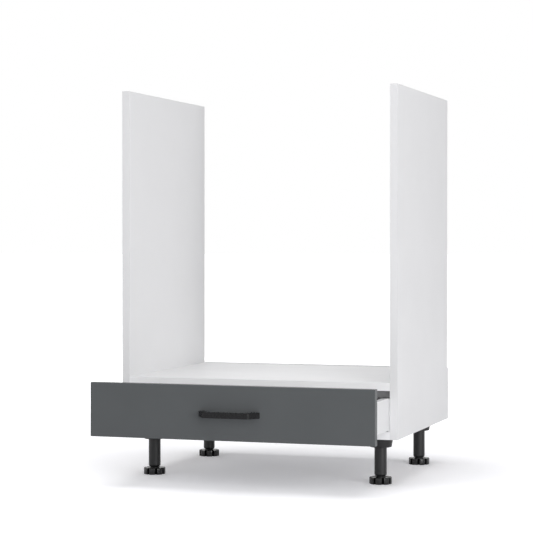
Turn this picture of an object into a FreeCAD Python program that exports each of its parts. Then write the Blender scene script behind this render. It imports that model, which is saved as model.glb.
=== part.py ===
import FreeCAD, Part
import os
import re

import Sketcher

# Oven base cabinet with a drawer on concealed runners and four adjustable legs.
# X runs to the right, Y to the back and Z up, in millimetres. The origin lies on the floor,
# in the middle of the cabinet as it stands with its drawer partly open.

# Driving sizes, kept in the sheet named Sizes
SIZES = {
    # carcass boards
    "cabinet_width": 600,
    "carcass_height": 719,
    "carcass_depth": 460,
    "board": 16,
    "edge_band": 0.8,
    "shelf_rise": 115,
    "back_board": 12,
    "back_rise": 1,
    # cams, cam bolts and dowels that join the carcass boards
    "cam_diameter": 15,
    "cam_depth": 12.4,
    "cam_inset": 24,
    "cam_front": 115,
    "cam_rear_inset": 115,
    "bolt_thread_diameter": 5,
    "bolt_grip": 11,
    "bolt_diameter": 6.4,
    "bolt_past_cam": 3,
    "dowel_diameter": 8,
    "dowel_length": 30,
    "dowel_in_side": 10,
    "dowel_offset": 32,
    "dowel_chamfer": 0.8,
    "cross_width": 2.2,
    "cross_reach": 4.2,
    "cross_depth": 2,
    "fit": 0.05,
    "hole_spare": 0.5,
    # screws
    "screw_diameter": 3.5,
    "screw_head_diameter": 6.6,
    "screw_head": 2,
    "leg_screw_length": 14,
    "rail_screw_length": 12,
    "rail_screw_head": 1.2,
    "back_screw_length": 30,
    "back_screw_head": 2.2,
    "back_screw_spread": 300,
    "back_screw_edge": 25,
    # adjustable legs
    "leg_height": 97,
    "leg_side_inset": 50,
    "leg_front_inset": 58,
    "leg_rear_inset": 62,
    "socket_top_diameter": 53,
    "socket_low_diameter": 46,
    "socket_height": 21,
    "socket_plate": 3,
    "socket_wall": 2.2,
    "socket_hub_wall": 2,
    "socket_fit": 0.15,
    "socket_round": 1.2,
    "leg_screw_circle": 38,
    "column_diameter": 25.6,
    "column_chamfer_height": 2.5,
    "column_chamfer": 1.3,
    "stem_diameter": 20.6,
    "thread_gap": 0.3,
    "stem_length": 52,
    "spigot_diameter": 11,
    "spigot_length": 8,
    "spigot_fit": 0.1,
    "stem_chamfer": 1.5,
    "neck": 3,
    "pad_diameter": 46.2,
    "pad_height": 14,
    "pad_foot_edge": 1.6,
    "pad_rim_edge": 1.2,
    "pad_dish": 1.2,
    "pad_hub_margin": 1.6,
    "pad_play": 0.1,
    "pad_lobes": 8,
    "slit_width": 5,
    "slit_depth": 5.5,
    "pad_turn_front_left": 28.5,
    "pad_turn_front_right": 25.5,
    "pad_turn_rear_left": 43.5,
    "pad_turn_rear_right": 9.5,
    # runners
    "runner_inset": 29,
    "sheet_metal": 1.5,
    "rail_length": 400,
    "rail_setback": 5,
    "flange_height": 24,
    "flange_screw_height": 14,
    "rail_screw_front": 32,
    "rail_screw_middle": 224,
    "rail_screw_rear": 352,
    "head_height": 8.5,
    "head_width": 17,
    "tray_rail_height": 16,
    "tray_rail_width": 24,
    "tray_rail_rise": 3.2,
    "tray_rail_mouth": 11,
    "tray_rail_setback": 3,
    "hook_width": 12,
    "hook_height": 14,
    "hook_pin_diameter": 5.6,
    "hook_pin_length": 8,
    "hook_pin_rise": 8,
    "hook_pin_fit": 0.2,
    # roller carriages
    "carriage_length": 96,
    "carriage_gap": 0.3,
    "carriage_deck_gap": 0.8,
    "carriage_lip_gap": 0.5,
    "roller_gap": 0.2,
    "roller_length": 12,
    "roller_pocket_gap": 0.25,
    "roller_chamfer": 0.4,
    "roller_inset": 12,
    "window_length": 34,
    "window_width": 8,
    # front catches
    "catch_gap": 0.6,
    "catch_width": 23.4,
    "catch_length": 46,
    "catch_height": 6.5,
    "catch_flange_width": 16,
    "catch_flange": 3,
    "catch_screw_length": 15,
    "lever_thickness": 4,
    "lever_gap": 0.3,
    "lever_width": 7,
    "lever_offset": 1,
    "lever_front": 8,
    "lever_pivot": 38,
    "lever_end": 4,
    "pivot_diameter": 4,
    "pivot_fit": 0.1,
    "tongue_front": 14,
    "tongue_length": 8,
    "tongue_reach": 2.6,
    "tongue_gap": 1,
    "finger_length": 12,
    "finger_width": 5,
    # drawer
    "drawer_open": 153,
    "front_gap": 2,
    "front_reveal": 1.5,
    "front_lift": 5.5,
    "front_over": 0.5,
    "front_board": 16,
    "front_round": 1.2,
    "drawer_gap": 3.5,
    "drawer_lift": 2.5,
    "drawer_headroom": 15,
    "drawer_rear_room": 28,
    "drawer_board": 12,
    "drawer_floor": 3,
    "groove_depth": 5,
    "groove_fit": 0.15,
    "drawer_cam_diameter": 12,
    "drawer_cam_depth": 9.4,
    "drawer_cam_inset": 20,
    "drawer_cam_low": 28,
    "drawer_cam_high": 55,
    "drawer_bolt_axis": 6,
    "drawer_dowel_diameter": 6,
    "drawer_dowel_length": 24,
    "drawer_dowel_in_side": 8,
    "drawer_dowel_low": 24,
    "drawer_dowel_high": 42,
    "bumper_diameter": 9,
    "bumper_gap": 0.1,
    "bumper_chamfer": 0.6,
    "bumper_margin": 12,
    # bow handle
    "handle_length": 128,
    "handle_bar_length": 94,
    "handle_projection": 24,
    "handle_drop": 2,
    "handle_height": 12,
    "handle_bar": 8,
    "handle_foot": 16,
    "handle_inner_half": 39,
    "handle_corner_round": 7,
    "handle_edge_round": 0.8,
    "handle_pitch": 112,
    "handle_screw_diameter": 4,
    "handle_screw_bite": 8,
    "handle_screw_head_diameter": 8,
    "handle_screw_head": 2.6,
}

# Places and sizes that follow from the driving sizes, kept in the sheet named Layout
LAYOUT = {
    "half_width": "cabinet_width / 2",
    "inner_half": "half_width - board",
    "bottom_top": "leg_height + board",
    "bottom_mid": "leg_height + board / 2",
    "shelf_top": "leg_height + shelf_rise",
    "shelf_low": "shelf_top - board",
    "shelf_mid": "shelf_top - board / 2",
    "carcass_top": "leg_height + carcass_height",
    "back_top": "shelf_top + back_rise",
    "rear_face": "carcass_depth + back_board",
    "front_rear": "-(drawer_open + front_gap)",
    "front_face": "front_rear - front_board",
    "origin_y": "(rear_face + front_face - handle_projection) / 2",
    "leg_x": "half_width - leg_side_inset",
    "leg_front_y": "leg_front_inset",
    "leg_rear_y": "carcass_depth - leg_rear_inset",
    "runner_x": "inner_half - runner_inset",
    # cams, bolts, dowels and screws as turned profiles
    "cam_rear": "carcass_depth - cam_rear_inset",
    "cam_radius": "cam_diameter / 2 - fit",
    "cam_bore": "bolt_diameter / 2 + 2 * fit",
    "cam_bore_height": "board / 2",
    "cross_half": "cross_width / 2",
    "bolt_thread_radius": "bolt_thread_diameter / 2",
    "bolt_radius": "bolt_diameter / 2",
    "bolt_length": "bolt_grip + cam_inset + bolt_past_cam",
    "dowel_radius": "dowel_diameter / 2",
    "dowel_tip_radius": "dowel_radius - dowel_chamfer",
    "dowel_shoulder": "dowel_length - dowel_chamfer",
    "screw_radius": "screw_diameter / 2",
    "screw_head_radius": "screw_head_diameter / 2",
    "screw_hole": "screw_radius + fit",
    "screw_back_low": "leg_height + back_screw_edge",
    "screw_back_high": "back_top - back_screw_edge",
    # legs
    "socket_top_radius": "socket_top_diameter / 2",
    "socket_low_radius": "socket_low_diameter / 2",
    "socket_skirt_low": "socket_low_radius - socket_wall",
    "socket_skirt_high": "socket_top_radius - socket_wall",
    "socket_rim": "socket_low_radius - socket_round",
    "socket_rim_height": "socket_height - socket_round",
    "socket_bore": "column_diameter / 2 + socket_fit",
    "socket_hub": "socket_bore + socket_hub_wall",
    "leg_screw_reach": "leg_screw_circle / 2",
    "column_radius": "column_diameter / 2",
    "column_low": "pad_height + neck",
    "column_high": "leg_height - socket_plate",
    "column_length": "column_high - column_low",
    "column_bore": "stem_diameter / 2 + thread_gap",
    "column_tip_radius": "column_radius - column_chamfer",
    "stem_radius": "stem_diameter / 2",
    "stem_seat": "pad_height - pad_dish + pad_play",
    "stem_tip_radius": "stem_radius - stem_chamfer",
    "stem_shoulder": "stem_length - stem_chamfer",
    "spigot_radius": "spigot_diameter / 2",
    "pad_radius": "pad_diameter / 2",
    "pad_foot_radius": "pad_radius - pad_foot_edge",
    "pad_rim_radius": "pad_radius - pad_rim_edge",
    "pad_rim_low": "pad_height - pad_rim_edge",
    "pad_hub_top": "pad_height - pad_dish",
    "pad_hub_radius": "stem_radius + pad_hub_margin",
    "pad_bore": "spigot_radius + spigot_fit",
    "pad_floor": "pad_hub_top - spigot_length - pad_play",
    "slit_half": "slit_width / 2",
    "slit_low": "pad_radius - slit_depth",
    "slit_high": "pad_radius + slit_width",
    # cabinet rails, measured from the runner axis on the bottom panel
    "web_half": "sheet_metal / 2",
    "flange_inner": "runner_inset - sheet_metal",
    "head_low": "head_height - sheet_metal",
    "head_half": "head_width / 2",
    # drawer rails
    "tray_half": "tray_rail_width / 2",
    "tray_inner": "tray_half - sheet_metal",
    "tray_mouth_half": "tray_rail_mouth / 2",
    "tray_lip_top": "tray_rail_rise + sheet_metal",
    "tray_ceiling": "tray_rail_height - sheet_metal",
    "tray_rail_length": "drawer_length - tray_rail_setback",
    "hook_half": "hook_width / 2",
    "hook_top": "tray_rail_height + hook_height",
    "hook_pin_height": "tray_rail_height + drawer_floor + hook_pin_rise",
    "hook_pin_radius": "hook_pin_diameter / 2",
    "slot_low": "lever_low - tongue_gap / 2",
    "slot_high": "lever_top + tongue_gap / 2",
    "slot_front": "tongue_front - tongue_gap - tray_rail_setback",
    "slot_rear": "tongue_front + tongue_length + tongue_gap - tray_rail_setback",
    # carriages, whose middle keeps half way between the two rails of a runner
    "carriage_y": "rail_setback + rail_length / 2 - (drawer_open + carriage_length) / 2",
    "saddle_inner": "head_half + carriage_gap",
    "saddle_outer": "tray_inner - carriage_gap",
    "saddle_low": "tray_lip_top + carriage_lip_gap",
    "deck_low": "head_height + carriage_deck_gap",
    "deck_top": "tray_ceiling - carriage_deck_gap",
    "roller_radius": "(tray_ceiling - head_height) / 2 - roller_gap",
    "roller_height": "(tray_ceiling + head_height) / 2",
    "roller_half": "roller_length / 2",
    "roller_tip_radius": "roller_radius - roller_chamfer",
    "roller_shoulder": "roller_length - roller_chamfer",
    "pocket_half": "roller_half + roller_pocket_gap",
    "pocket_reach": "roller_radius + roller_pocket_gap",
    "roller_front": "roller_inset",
    "roller_rear": "carriage_length - roller_inset",
    "pocket_front_low": "roller_front - pocket_reach",
    "pocket_front_high": "roller_front + pocket_reach",
    "pocket_rear_low": "roller_rear - pocket_reach",
    "pocket_rear_high": "roller_rear + pocket_reach",
    "window_half": "window_width / 2",
    "window_low": "(carriage_length - window_length) / 2",
    "window_high": "(carriage_length + window_length) / 2",
    # catches, measured from the runner axis and the rear of the drawer front
    "catch_near": "tray_half + catch_gap",
    "catch_far": "catch_near + catch_width",
    "catch_end": "catch_far + catch_flange_width",
    "catch_low": "tray_rail_height - catch_height",
    "catch_screw_height": "catch_low + catch_height * 0.45",
    "catch_screw_near": "catch_far + catch_flange_width * 0.3",
    "catch_screw_far": "catch_far + catch_flange_width * 0.75",
    "lever_top": "catch_low - lever_gap",
    "lever_low": "lever_top - lever_thickness",
    "pivot_x": "tray_half + lever_offset + lever_width / 2",
    "pivot_radius": "pivot_diameter / 2",
    "pivot_bore": "pivot_radius + pivot_fit",
    "pivot_length": "lever_gap + lever_thickness",
    "lever_half": "lever_width / 2",
    "lever_nose": "lever_pivot - lever_front",
    "tongue_near": "lever_half + tongue_reach",
    "tongue_start": "lever_pivot - tongue_front",
    "tongue_stop": "lever_pivot - tongue_front - tongue_length",
    "finger_far": "lever_half + finger_length",
    "finger_stop": "lever_nose - finger_width",
    # drawer
    "front_half": "half_width - front_reveal",
    "front_low": "leg_height + front_lift",
    "front_high": "shelf_top + front_over",
    "front_mid": "(front_low + front_high) / 2",
    "drawer_outer": "inner_half - drawer_gap",
    "drawer_inner": "drawer_outer - drawer_board",
    "drawer_low": "bottom_top + drawer_lift",
    "drawer_high": "shelf_low - drawer_headroom",
    "drawer_length": "carcass_depth - front_gap - drawer_rear_room",
    "drawer_rear": "front_rear + drawer_length",
    "tray_low": "bottom_top + tray_rail_height",
    "tray_top": "tray_low + drawer_floor",
    "drawer_cam_radius": "drawer_cam_diameter / 2 - fit",
    "drawer_cam_low_z": "drawer_low + drawer_cam_low",
    "drawer_cam_high_z": "drawer_low + drawer_cam_high",
    "drawer_bolt_x": "drawer_inner + drawer_bolt_axis",
    "drawer_bolt_length": "bolt_grip + drawer_cam_inset + bolt_past_cam",
    "drawer_dowel_radius": "drawer_dowel_diameter / 2",
    "drawer_dowel_tip_radius": "drawer_dowel_radius - dowel_chamfer",
    "drawer_dowel_shoulder": "drawer_dowel_length - dowel_chamfer",
    "bumper_radius": "bumper_diameter / 2",
    "bumper_tip_radius": "bumper_radius - bumper_chamfer",
    "bumper_height": "front_gap - bumper_gap",
    "bumper_shoulder": "bumper_height - bumper_chamfer",
    "bumper_x": "half_width - board / 2",
    # handle
    "handle_half": "handle_length / 2",
    "handle_level": "front_mid - handle_drop",
    "handle_corner": "handle_bar_length / 2",
    "handle_foot_inner": "handle_half - handle_foot",
    "handle_bar_inner": "handle_projection - handle_bar",
    "handle_hole": "handle_pitch / 2",
    "handle_mid": "handle_height / 2",
    "handle_screw_radius": "handle_screw_diameter / 2",
    "handle_bore": "handle_screw_radius + fit",
    "handle_bore_depth": "handle_screw_bite + hole_spare",
    "handle_screw_length": "front_board + handle_screw_bite",
    "handle_screw_head_radius": "handle_screw_head_diameter / 2",
}

NAME = re.compile(r"[a-z_]+")
X_AXIS = FreeCAD.Vector(1, 0, 0)
Y_AXIS = FreeCAD.Vector(0, 1, 0)
# Rotations that turn a piece made along +Z to another direction
TOWARDS = {
    "+x": FreeCAD.Rotation(Y_AXIS, 90),
    "-x": FreeCAD.Rotation(Y_AXIS, -90),
    "+y": FreeCAD.Rotation(X_AXIS, -90),
    "-y": FreeCAD.Rotation(X_AXIS, 90),
    "+z": FreeCAD.Rotation(),
}
SIDES = {"left": -1, "right": 1}
NEAR = 1e-6

doc = FreeCAD.newDocument("OvenBaseCabinet")
sub_parts = []


def formula(text):
    """Points every size named in a formula to the sheet that holds it."""

    def qualify(match):
        word = match.group()
        if word in SIZES:
            return "Sizes." + word
        if word in LAYOUT:
            return "Layout." + word
        if word == "sqrt":
            return word
        raise ValueError("no size is named " + word)

    return NAME.sub(qualify, text)


def fill_sheet(name, cells):
    """Makes a sheet with one named cell on each row."""
    sheet = doc.addObject("Spreadsheet::Sheet", name)
    for row, (alias, content) in enumerate(cells.items(), 1):
        sheet.set(f"A{row}", alias)
        sheet.set(f"B{row}", content)
        sheet.setAlias(f"B{row}", alias)
    return sheet


sizes = fill_sheet("Sizes", {name: str(number) for name, number in SIZES.items()})
layout = fill_sheet("Layout", {name: "=" + formula(text) for name, text in LAYOUT.items()})
doc.recompute()


def value(name):
    """The number that a size has now. A leading minus sign turns it over."""
    if name.startswith("-"):
        return -value(name[1:])
    sheet = sizes if name in SIZES else layout
    return float(sheet.get(name))


def bind(thing, **formulas):
    for key, text in formulas.items():
        thing.setExpression(key, formula(text))
    return thing


def place(thing, x="", y="", z="", facing=None):
    """Ties a thing's position to formulas, and turns it if a rotation is given."""
    if facing:
        thing.Placement = FreeCAD.Placement(FreeCAD.Vector(), facing)
    for axis, text in (("x", x), ("y", y), ("z", z)):
        if text:
            thing.setExpression("Placement.Base." + axis, formula(text))
    return thing


def sub_part(label, thing, x="", y="-origin_y", z="", facing=None):
    """Names a finished piece and puts it in the cabinet's frame."""
    thing.Label = label
    place(thing, x, y, z, facing)
    sub_parts.append(thing)
    return thing


def signed(side, text):
    """A formula, or its mirror image for the left side."""
    return text if side > 0 else f"-({text})"


def mirrored(side, name):
    """The name of a sketch coordinate, or its mirror image for the left side."""
    if side > 0 or name == "0":
        return name
    return name[1:] if name.startswith("-") else "-" + name


def span(side, near, far):
    """The low and high end of a stretch across one side of the cabinet."""
    return (near, far) if side > 0 else (f"-({far})", f"-({near})")


def block(name, x, y, z):
    """A plain block between a low and a high formula along each axis."""
    thing = doc.addObject("Part::Box", name)
    lengths = [f"({high}) - ({low})" for low, high in (x, y, z)]
    bind(thing, Length=lengths[0], Width=lengths[1], Height=lengths[2])
    return place(thing, x[0], y[0], z[0])


def plain_piece(label, x, y, z):
    """A sub-part that is one plain block."""
    return sub_part(label, block("Plain", x, y, z), x[0], f"{y[0]} - origin_y", z[0])


def rod(name, towards, radius, length, x, y, z):
    """A round bar that starts at a point and runs in a named direction."""
    thing = doc.addObject("Part::Cylinder", name)
    bind(thing, Radius=radius, Height=length)
    return place(thing, x, y, z, TOWARDS[towards])


def cut(name, base, tools):
    """A piece with drillings or grooves taken out of it."""
    drill = doc.addObject("Part::Compound", name + "Drill")
    drill.Links = tools
    thing = doc.addObject("Part::Cut", name)
    thing.Base = base
    thing.Tool = drill
    return thing


def new_sketch(body, plane, name):
    sketch = body.newObject("Sketcher::SketchObject", name)
    origin = [f for f in body.Origin.OriginFeatures if f.Role == plane]
    sketch.AttachmentSupport = [(origin[0], "")]
    sketch.MapMode = "FlatFace"
    return sketch


def tie_point(sketch, curve, point, x, y):
    """Holds a point of a sketch at two named coordinates."""
    for kind, axis, name in (("DistanceX", -2, x), ("DistanceY", -1, y)):
        if name == "0":
            sketch.addConstraint(Sketcher.Constraint("PointOnObject", curve, point, axis))
            continue
        limit = Sketcher.Constraint(kind, -1, 1, curve, point, value(name))
        index = sketch.addConstraint(limit)
        sketch.setExpression(f"Constraints[{index}]", formula(name))


def point_at(x, y):
    numbers = [0.0 if name == "0" else value(name) for name in (x, y)]
    return FreeCAD.Vector(numbers[0], numbers[1], 0)


def draw_polygon(sketch, corners):
    """Draws a closed outline through corners given as pairs of size names."""
    first = sketch.GeometryCount
    count = len(corners)
    points = [point_at(x, y) for x, y in corners]
    for i in range(count):
        sketch.addGeometry(Part.LineSegment(points[i], points[(i + 1) % count]), False)
    for i in range(count):
        following = first + (i + 1) % count
        sketch.addConstraint(Sketcher.Constraint("Coincident", first + i, 2, following, 1))
    for i, (x, y) in enumerate(corners):
        tie_point(sketch, first + i, 1, x, y)


def draw_rectangle(sketch, x, y):
    draw_polygon(sketch, [(x[0], y[0]), (x[1], y[0]), (x[1], y[1]), (x[0], y[1])])


def draw_circle(sketch, x, y, radius):
    centre = point_at(x, y)
    up = FreeCAD.Vector(0, 0, 1)
    curve = sketch.addGeometry(Part.Circle(centre, up, value(radius)), False)
    tie_point(sketch, curve, 3, x, y)
    index = sketch.addConstraint(Sketcher.Constraint("Radius", curve, value(radius)))
    sketch.setExpression(f"Constraints[{index}]", formula(radius))


def new_body(name):
    return doc.addObject("PartDesign::Body", name)


def pad(body, sketch, length, reverse=False):
    feature = body.newObject("PartDesign::Pad", "Pad")
    feature.Profile = sketch
    feature.Reversed = reverse
    bind(feature, Length=length)
    return feature


def pocket(body, sketch, length="", reverse=False):
    """Cuts a sketch out of a body, right through it where no depth is given."""
    doc.recompute()
    before = body.Shape.Volume
    feature = body.newObject("PartDesign::Pocket", "Pocket")
    feature.Profile = sketch
    feature.Reversed = reverse
    if length:
        bind(feature, Length=length)
    else:
        feature.Type = "ThroughAll"
    doc.recompute()
    if body.Shape.Volume > before - NEAR:
        raise RuntimeError(f"{body.Name}: a pocket cuts nothing")
    return feature


def turned(name, profile):
    """A body turned about Z from corners given as radius and height."""
    body = new_body(name)
    sketch = new_sketch(body, "XZ_Plane", name + "Profile")
    draw_polygon(sketch, profile)
    feature = body.newObject("PartDesign::Revolution", "Revolution")
    feature.Profile = sketch
    feature.ReferenceAxis = (sketch, ["V_Axis"])
    feature.Angle = 360
    return body


def round_edges(body, radius, chosen):
    """Rounds the edges of a body that a test picks out."""
    doc.recompute()
    tip = body.Tip
    names = [f"Edge{i}" for i, edge in enumerate(tip.Shape.Edges, 1) if chosen(edge)]
    feature = body.newObject("PartDesign::Fillet", "Fillet")
    feature.Base = (tip, names)
    bind(feature, Radius=radius)
    return feature


def copies(label, master, places):
    """A group of like pieces: each place is x, y, z formulas and a rotation."""
    links = []
    for x, y, z, facing in places:
        link = doc.addObject("App::Link", master.Name + "Copy")
        link.LinkedObject = master
        links.append(place(link, x, y, z, facing))
    group = doc.addObject("Part::Compound", master.Name + "Group")
    group.Links = links
    return sub_part(label, group)


# The carcass joints: each row is a board's mid height, and each place on it is measured from the front
JOINT_HEIGHTS = ("bottom_mid", "shelf_mid")
CAM_PLACES = ("cam_front", "cam_rear")
DOWEL_PLACES = ("cam_front + dowel_offset", "cam_rear - dowel_offset")
RAIL_SCREWS = ("rail_screw_front", "rail_screw_middle", "rail_screw_rear")
LEGS = {
    f"{end}_{side}": (signed(SIDES[side], "leg_x"), f"leg_{end}_y")
    for end in ("front", "rear")
    for side in SIDES
}


def side_panel(name):
    side = SIDES[name]
    x = span(side, "inner_half", "half_width")
    board = block("SideBoard", x, ("edge_band", "carcass_depth"), ("leg_height", "carcass_top"))
    wall = signed(side, "inner_half")
    outwards = "+x" if side > 0 else "-x"
    holes = []
    for z in JOINT_HEIGHTS:
        for y in CAM_PLACES:
            bore = ("bolt_thread_radius + fit", "bolt_grip + hole_spare")
            holes.append(rod("BoltHole", outwards, *bore, wall, y, z))
        for y in DOWEL_PLACES:
            bore = ("dowel_radius + fit", "dowel_in_side + hole_spare")
            holes.append(rod("DowelHole", outwards, *bore, wall, y, z))
    for y in RAIL_SCREWS:
        bore = ("screw_hole", "rail_screw_length")
        place_y = f"rail_setback + {y}"
        holes.append(rod("RailHole", outwards, *bore, wall, place_y, "bottom_top + flange_screw_height"))
    for z in ("screw_back_low", "screw_back_high"):
        bore = ("screw_hole", "back_screw_length - back_board + hole_spare")
        middle = signed(side, "half_width - board / 2")
        holes.append(rod("BackHole", "-y", *bore, middle, "carcass_depth", z))
    sub_part(f"{name}_side_panel", cut("SidePanel", board, holes))
    plain_piece(f"{name}_side_edge_band", x, ("0", "edge_band"), ("leg_height", "carcass_top"))


def level_board(label, low, extra_holes):
    """The bottom panel or the oven shelf, with its cams under it and its bolts and dowels in its ends."""
    middle = f"{low} + board / 2"
    width = ("-inner_half", "inner_half")
    height = (low, f"{low} + board")
    board = block("LevelBoard", width, ("edge_band", "carcass_depth"), height)
    holes = list(extra_holes)
    for side in SIDES.values():
        end = signed(side, "inner_half")
        inwards = "-x" if side > 0 else "+x"
        for y in CAM_PLACES:
            cam_x = signed(side, "inner_half - cam_inset")
            holes.append(rod("CamHole", "+z", "cam_diameter / 2", "cam_depth + fit", cam_x, y, low))
            bore = ("bolt_radius + 2 * fit", "cam_inset")
            holes.append(rod("BoltHole", inwards, *bore, end, y, middle))
        for y in DOWEL_PLACES:
            bore = ("dowel_radius + fit", "dowel_length - dowel_in_side + hole_spare")
            holes.append(rod("DowelHole", inwards, *bore, end, y, middle))
        screw_x = signed(side, "back_screw_spread / 2")
        bore = ("screw_hole", "back_screw_length - back_board + hole_spare")
        holes.append(rod("BackHole", "-y", *bore, screw_x, "carcass_depth", middle))
    drill = doc.addObject("Part::MultiFuse", "LevelDrill")
    drill.Shapes = holes
    sub_part(label, cut("LevelPanel", board, [drill]))
    plain_piece(f"{label}_edge_band", width, ("0", "edge_band"), height)


def leg_screw_places(z):
    places = []
    for x, y in LEGS.values():
        for across in ("+", "-"):
            for along in ("+", "-"):
                reach = "leg_screw_reach * sqrt(0.5)"
                places.append((f"{x} {across} {reach}", f"{y} {along} {reach}", z, None))
    return places


def back_screw_places(y):
    places = []
    for side in SIDES.values():
        for z in ("screw_back_low", "screw_back_high"):
            places.append((signed(side, "half_width - board / 2"), y, z, TOWARDS["-y"]))
        for z in JOINT_HEIGHTS:
            places.append((signed(side, "back_screw_spread / 2"), y, z, TOWARDS["-y"]))
    return places


def carcass_boards():
    for name in SIDES:
        side_panel(name)
    bore = ("screw_hole", "leg_screw_length - socket_plate + hole_spare")
    pilots = [rod("LegHole", "+z", *bore, x, y, z) for x, y, z, _ in leg_screw_places("leg_height")]
    level_board("bottom_panel", "leg_height", pilots)
    level_board("oven_shelf", "shelf_low", [])
    width = ("-half_width", "half_width")
    board = block("BackBoard", width, ("carcass_depth", "rear_face"), ("leg_height", "back_top"))
    tools = []
    for x, y, z, _ in back_screw_places("rear_face"):
        sink = doc.addObject("Part::Cone", "BackSink")
        bind(sink, Radius1="screw_head_radius + fit", Radius2="screw_hole", Height="back_screw_head")
        place(sink, x, y, z, TOWARDS["-y"])
        hole = rod("BackHole", "-y", "screw_hole", "back_board", x, y, z)
        both = doc.addObject("Part::Fuse", "SunkHole")
        both.Base = hole
        both.Tool = sink
        tools.append(both)
    sub_part("back_panel", cut("BackPanel", board, tools))


def draw_cross(sketch):
    """The outline of a cross recess for a screwdriver."""
    near, far = "cross_half", "cross_reach"
    corners = [(near, far), (near, near), (far, near)]
    corners += [(far, "-" + near), (near, "-" + near), (near, "-" + far)]
    corners += [("-" + near, "-" + far), ("-" + near, "-" + near), ("-" + far, "-" + near)]
    corners += [("-" + far, near), ("-" + near, near), ("-" + near, far)]
    draw_polygon(sketch, corners)


def cam(name, radius, depth, bolt_height):
    """A cam: a disc with a cross recess in its open face and a bore for the bolt's head, towards +X."""
    body = new_body(name)
    disc = new_sketch(body, "XY_Plane", name + "Disc")
    draw_circle(disc, "0", "0", radius)
    pad(body, disc, depth)
    recess = new_sketch(body, "XY_Plane", name + "Recess")
    draw_cross(recess)
    pocket(body, recess, "cross_depth", reverse=True)
    bore = new_sketch(body, "YZ_Plane", name + "Bore")
    draw_circle(bore, "0", bolt_height, "cam_bore")
    pocket(body, bore, reverse=True)
    back = new_sketch(body, "YZ_Plane", name + "Seat")
    draw_circle(back, "0", bolt_height, "cam_bore")
    pocket(body, back, "bolt_past_cam + hole_spare")
    return body


def cam_bolt(name, length):
    """A cam bolt: its thread starts at zero and its head ends in the cam."""
    thread, shank = "bolt_thread_radius", "bolt_radius"
    profile = [("0", "0"), (thread, "0"), (thread, "bolt_grip")]
    profile += [(shank, "bolt_grip"), (shank, length), ("0", length)]
    return turned(name, profile)


def dowel(name, radius, tip, shoulder, length):
    profile = [("0", "0"), (tip, "0"), (radius, "dowel_chamfer")]
    profile += [(radius, shoulder), (tip, length), ("0", length)]
    return turned(name, profile)


def screw(name, shank, head, head_height, length):
    """A pan-head screw: its head ends at zero and its shank runs up from there."""
    below = "-" + head_height
    profile = [("0", below), (head, below), (head, "0"), (shank, "0"), (shank, length), ("0", length)]
    return turned(name, profile)


def carcass_fittings():
    cams, bolts, dowels = [], [], []
    for side in SIDES.values():
        inwards = TOWARDS["-x" if side > 0 else "+x"]
        outwards = FreeCAD.Rotation(FreeCAD.Vector(0, 0, 1), 0 if side > 0 else 180)
        for low, middle in (("leg_height", "bottom_mid"), ("shelf_low", "shelf_mid")):
            for y in CAM_PLACES:
                cams.append((signed(side, "inner_half - cam_inset"), y, low, outwards))
                bolts.append((signed(side, "inner_half + bolt_grip"), y, middle, inwards))
            for y in DOWEL_PLACES:
                dowels.append((signed(side, "inner_half + dowel_in_side"), y, middle, inwards))
    copies("carcass_cams", cam("Cam", "cam_radius", "cam_depth", "cam_bore_height"), cams)
    copies("carcass_cam_bolts", cam_bolt("CamBolt", "bolt_length"), bolts)
    shape = ("dowel_radius", "dowel_tip_radius", "dowel_shoulder", "dowel_length")
    copies("carcass_dowels", dowel("Dowel", *shape), dowels)
    sunk = [("0", "0"), ("screw_head_radius", "0"), ("screw_radius", "back_screw_head")]
    sunk += [("screw_radius", "back_screw_length"), ("0", "back_screw_length")]
    copies("back_panel_screws", turned("BackScrew", sunk), back_screw_places("rear_face"))
    head = ("screw_radius", "screw_head_radius", "screw_head", "leg_screw_length")
    copies("leg_screws", screw("LegScrew", *head), leg_screw_places("leg_height - socket_plate"))


def leg_socket(where, x, y):
    """A tapered cup under the bottom panel, with a hub for the column and four screw holes in its plate."""
    plate = "-socket_plate"
    low = "-socket_height"
    profile = [("socket_bore", plate), ("socket_bore", low), ("socket_hub", low), ("socket_hub", plate)]
    profile += [("socket_skirt_high", plate), ("socket_skirt_low", low), ("socket_rim", low)]
    profile += [("socket_low_radius", "-socket_rim_height")]
    profile += [("socket_top_radius", "0"), ("0", "0"), ("0", plate)]
    body = turned("Socket", profile)
    drill = new_sketch(body, "XY_Plane", "SocketHoles")
    draw_circle(drill, "leg_screw_reach", "0", "screw_hole")
    hole = pocket(body, drill, "socket_plate")
    polar_pattern(body, hole, "4")
    turn = FreeCAD.Rotation(FreeCAD.Vector(0, 0, 1), 45)
    sub_part(f"leg_socket_{where}", body, x, f"{y} - origin_y", "leg_height", turn)


def polar_pattern(body, feature, count):
    """Repeats a feature evenly about a body's Z axis."""
    axis = [f for f in body.Origin.OriginFeatures if f.Role == "Z_Axis"]
    pattern = body.newObject("PartDesign::PolarPattern", "PolarPattern")
    pattern.Originals = [feature]
    pattern.Axis = (axis[0], [""])
    pattern.Angle = 360
    pattern.setExpression("Occurrences", count if count.isdigit() else formula(count))
    body.Tip = pattern
    return pattern


def leg_column(where, x, y):
    """A tube that stands in the socket, chamfered at its lower end."""
    profile = [("column_bore", "0"), ("column_tip_radius", "0"), ("column_radius", "column_chamfer_height")]
    profile += [("column_radius", "column_length"), ("column_bore", "column_length")]
    body = turned("Column", profile)
    sub_part(f"leg_column_{where}", body, x, f"{y} - origin_y", "column_low")


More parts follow.
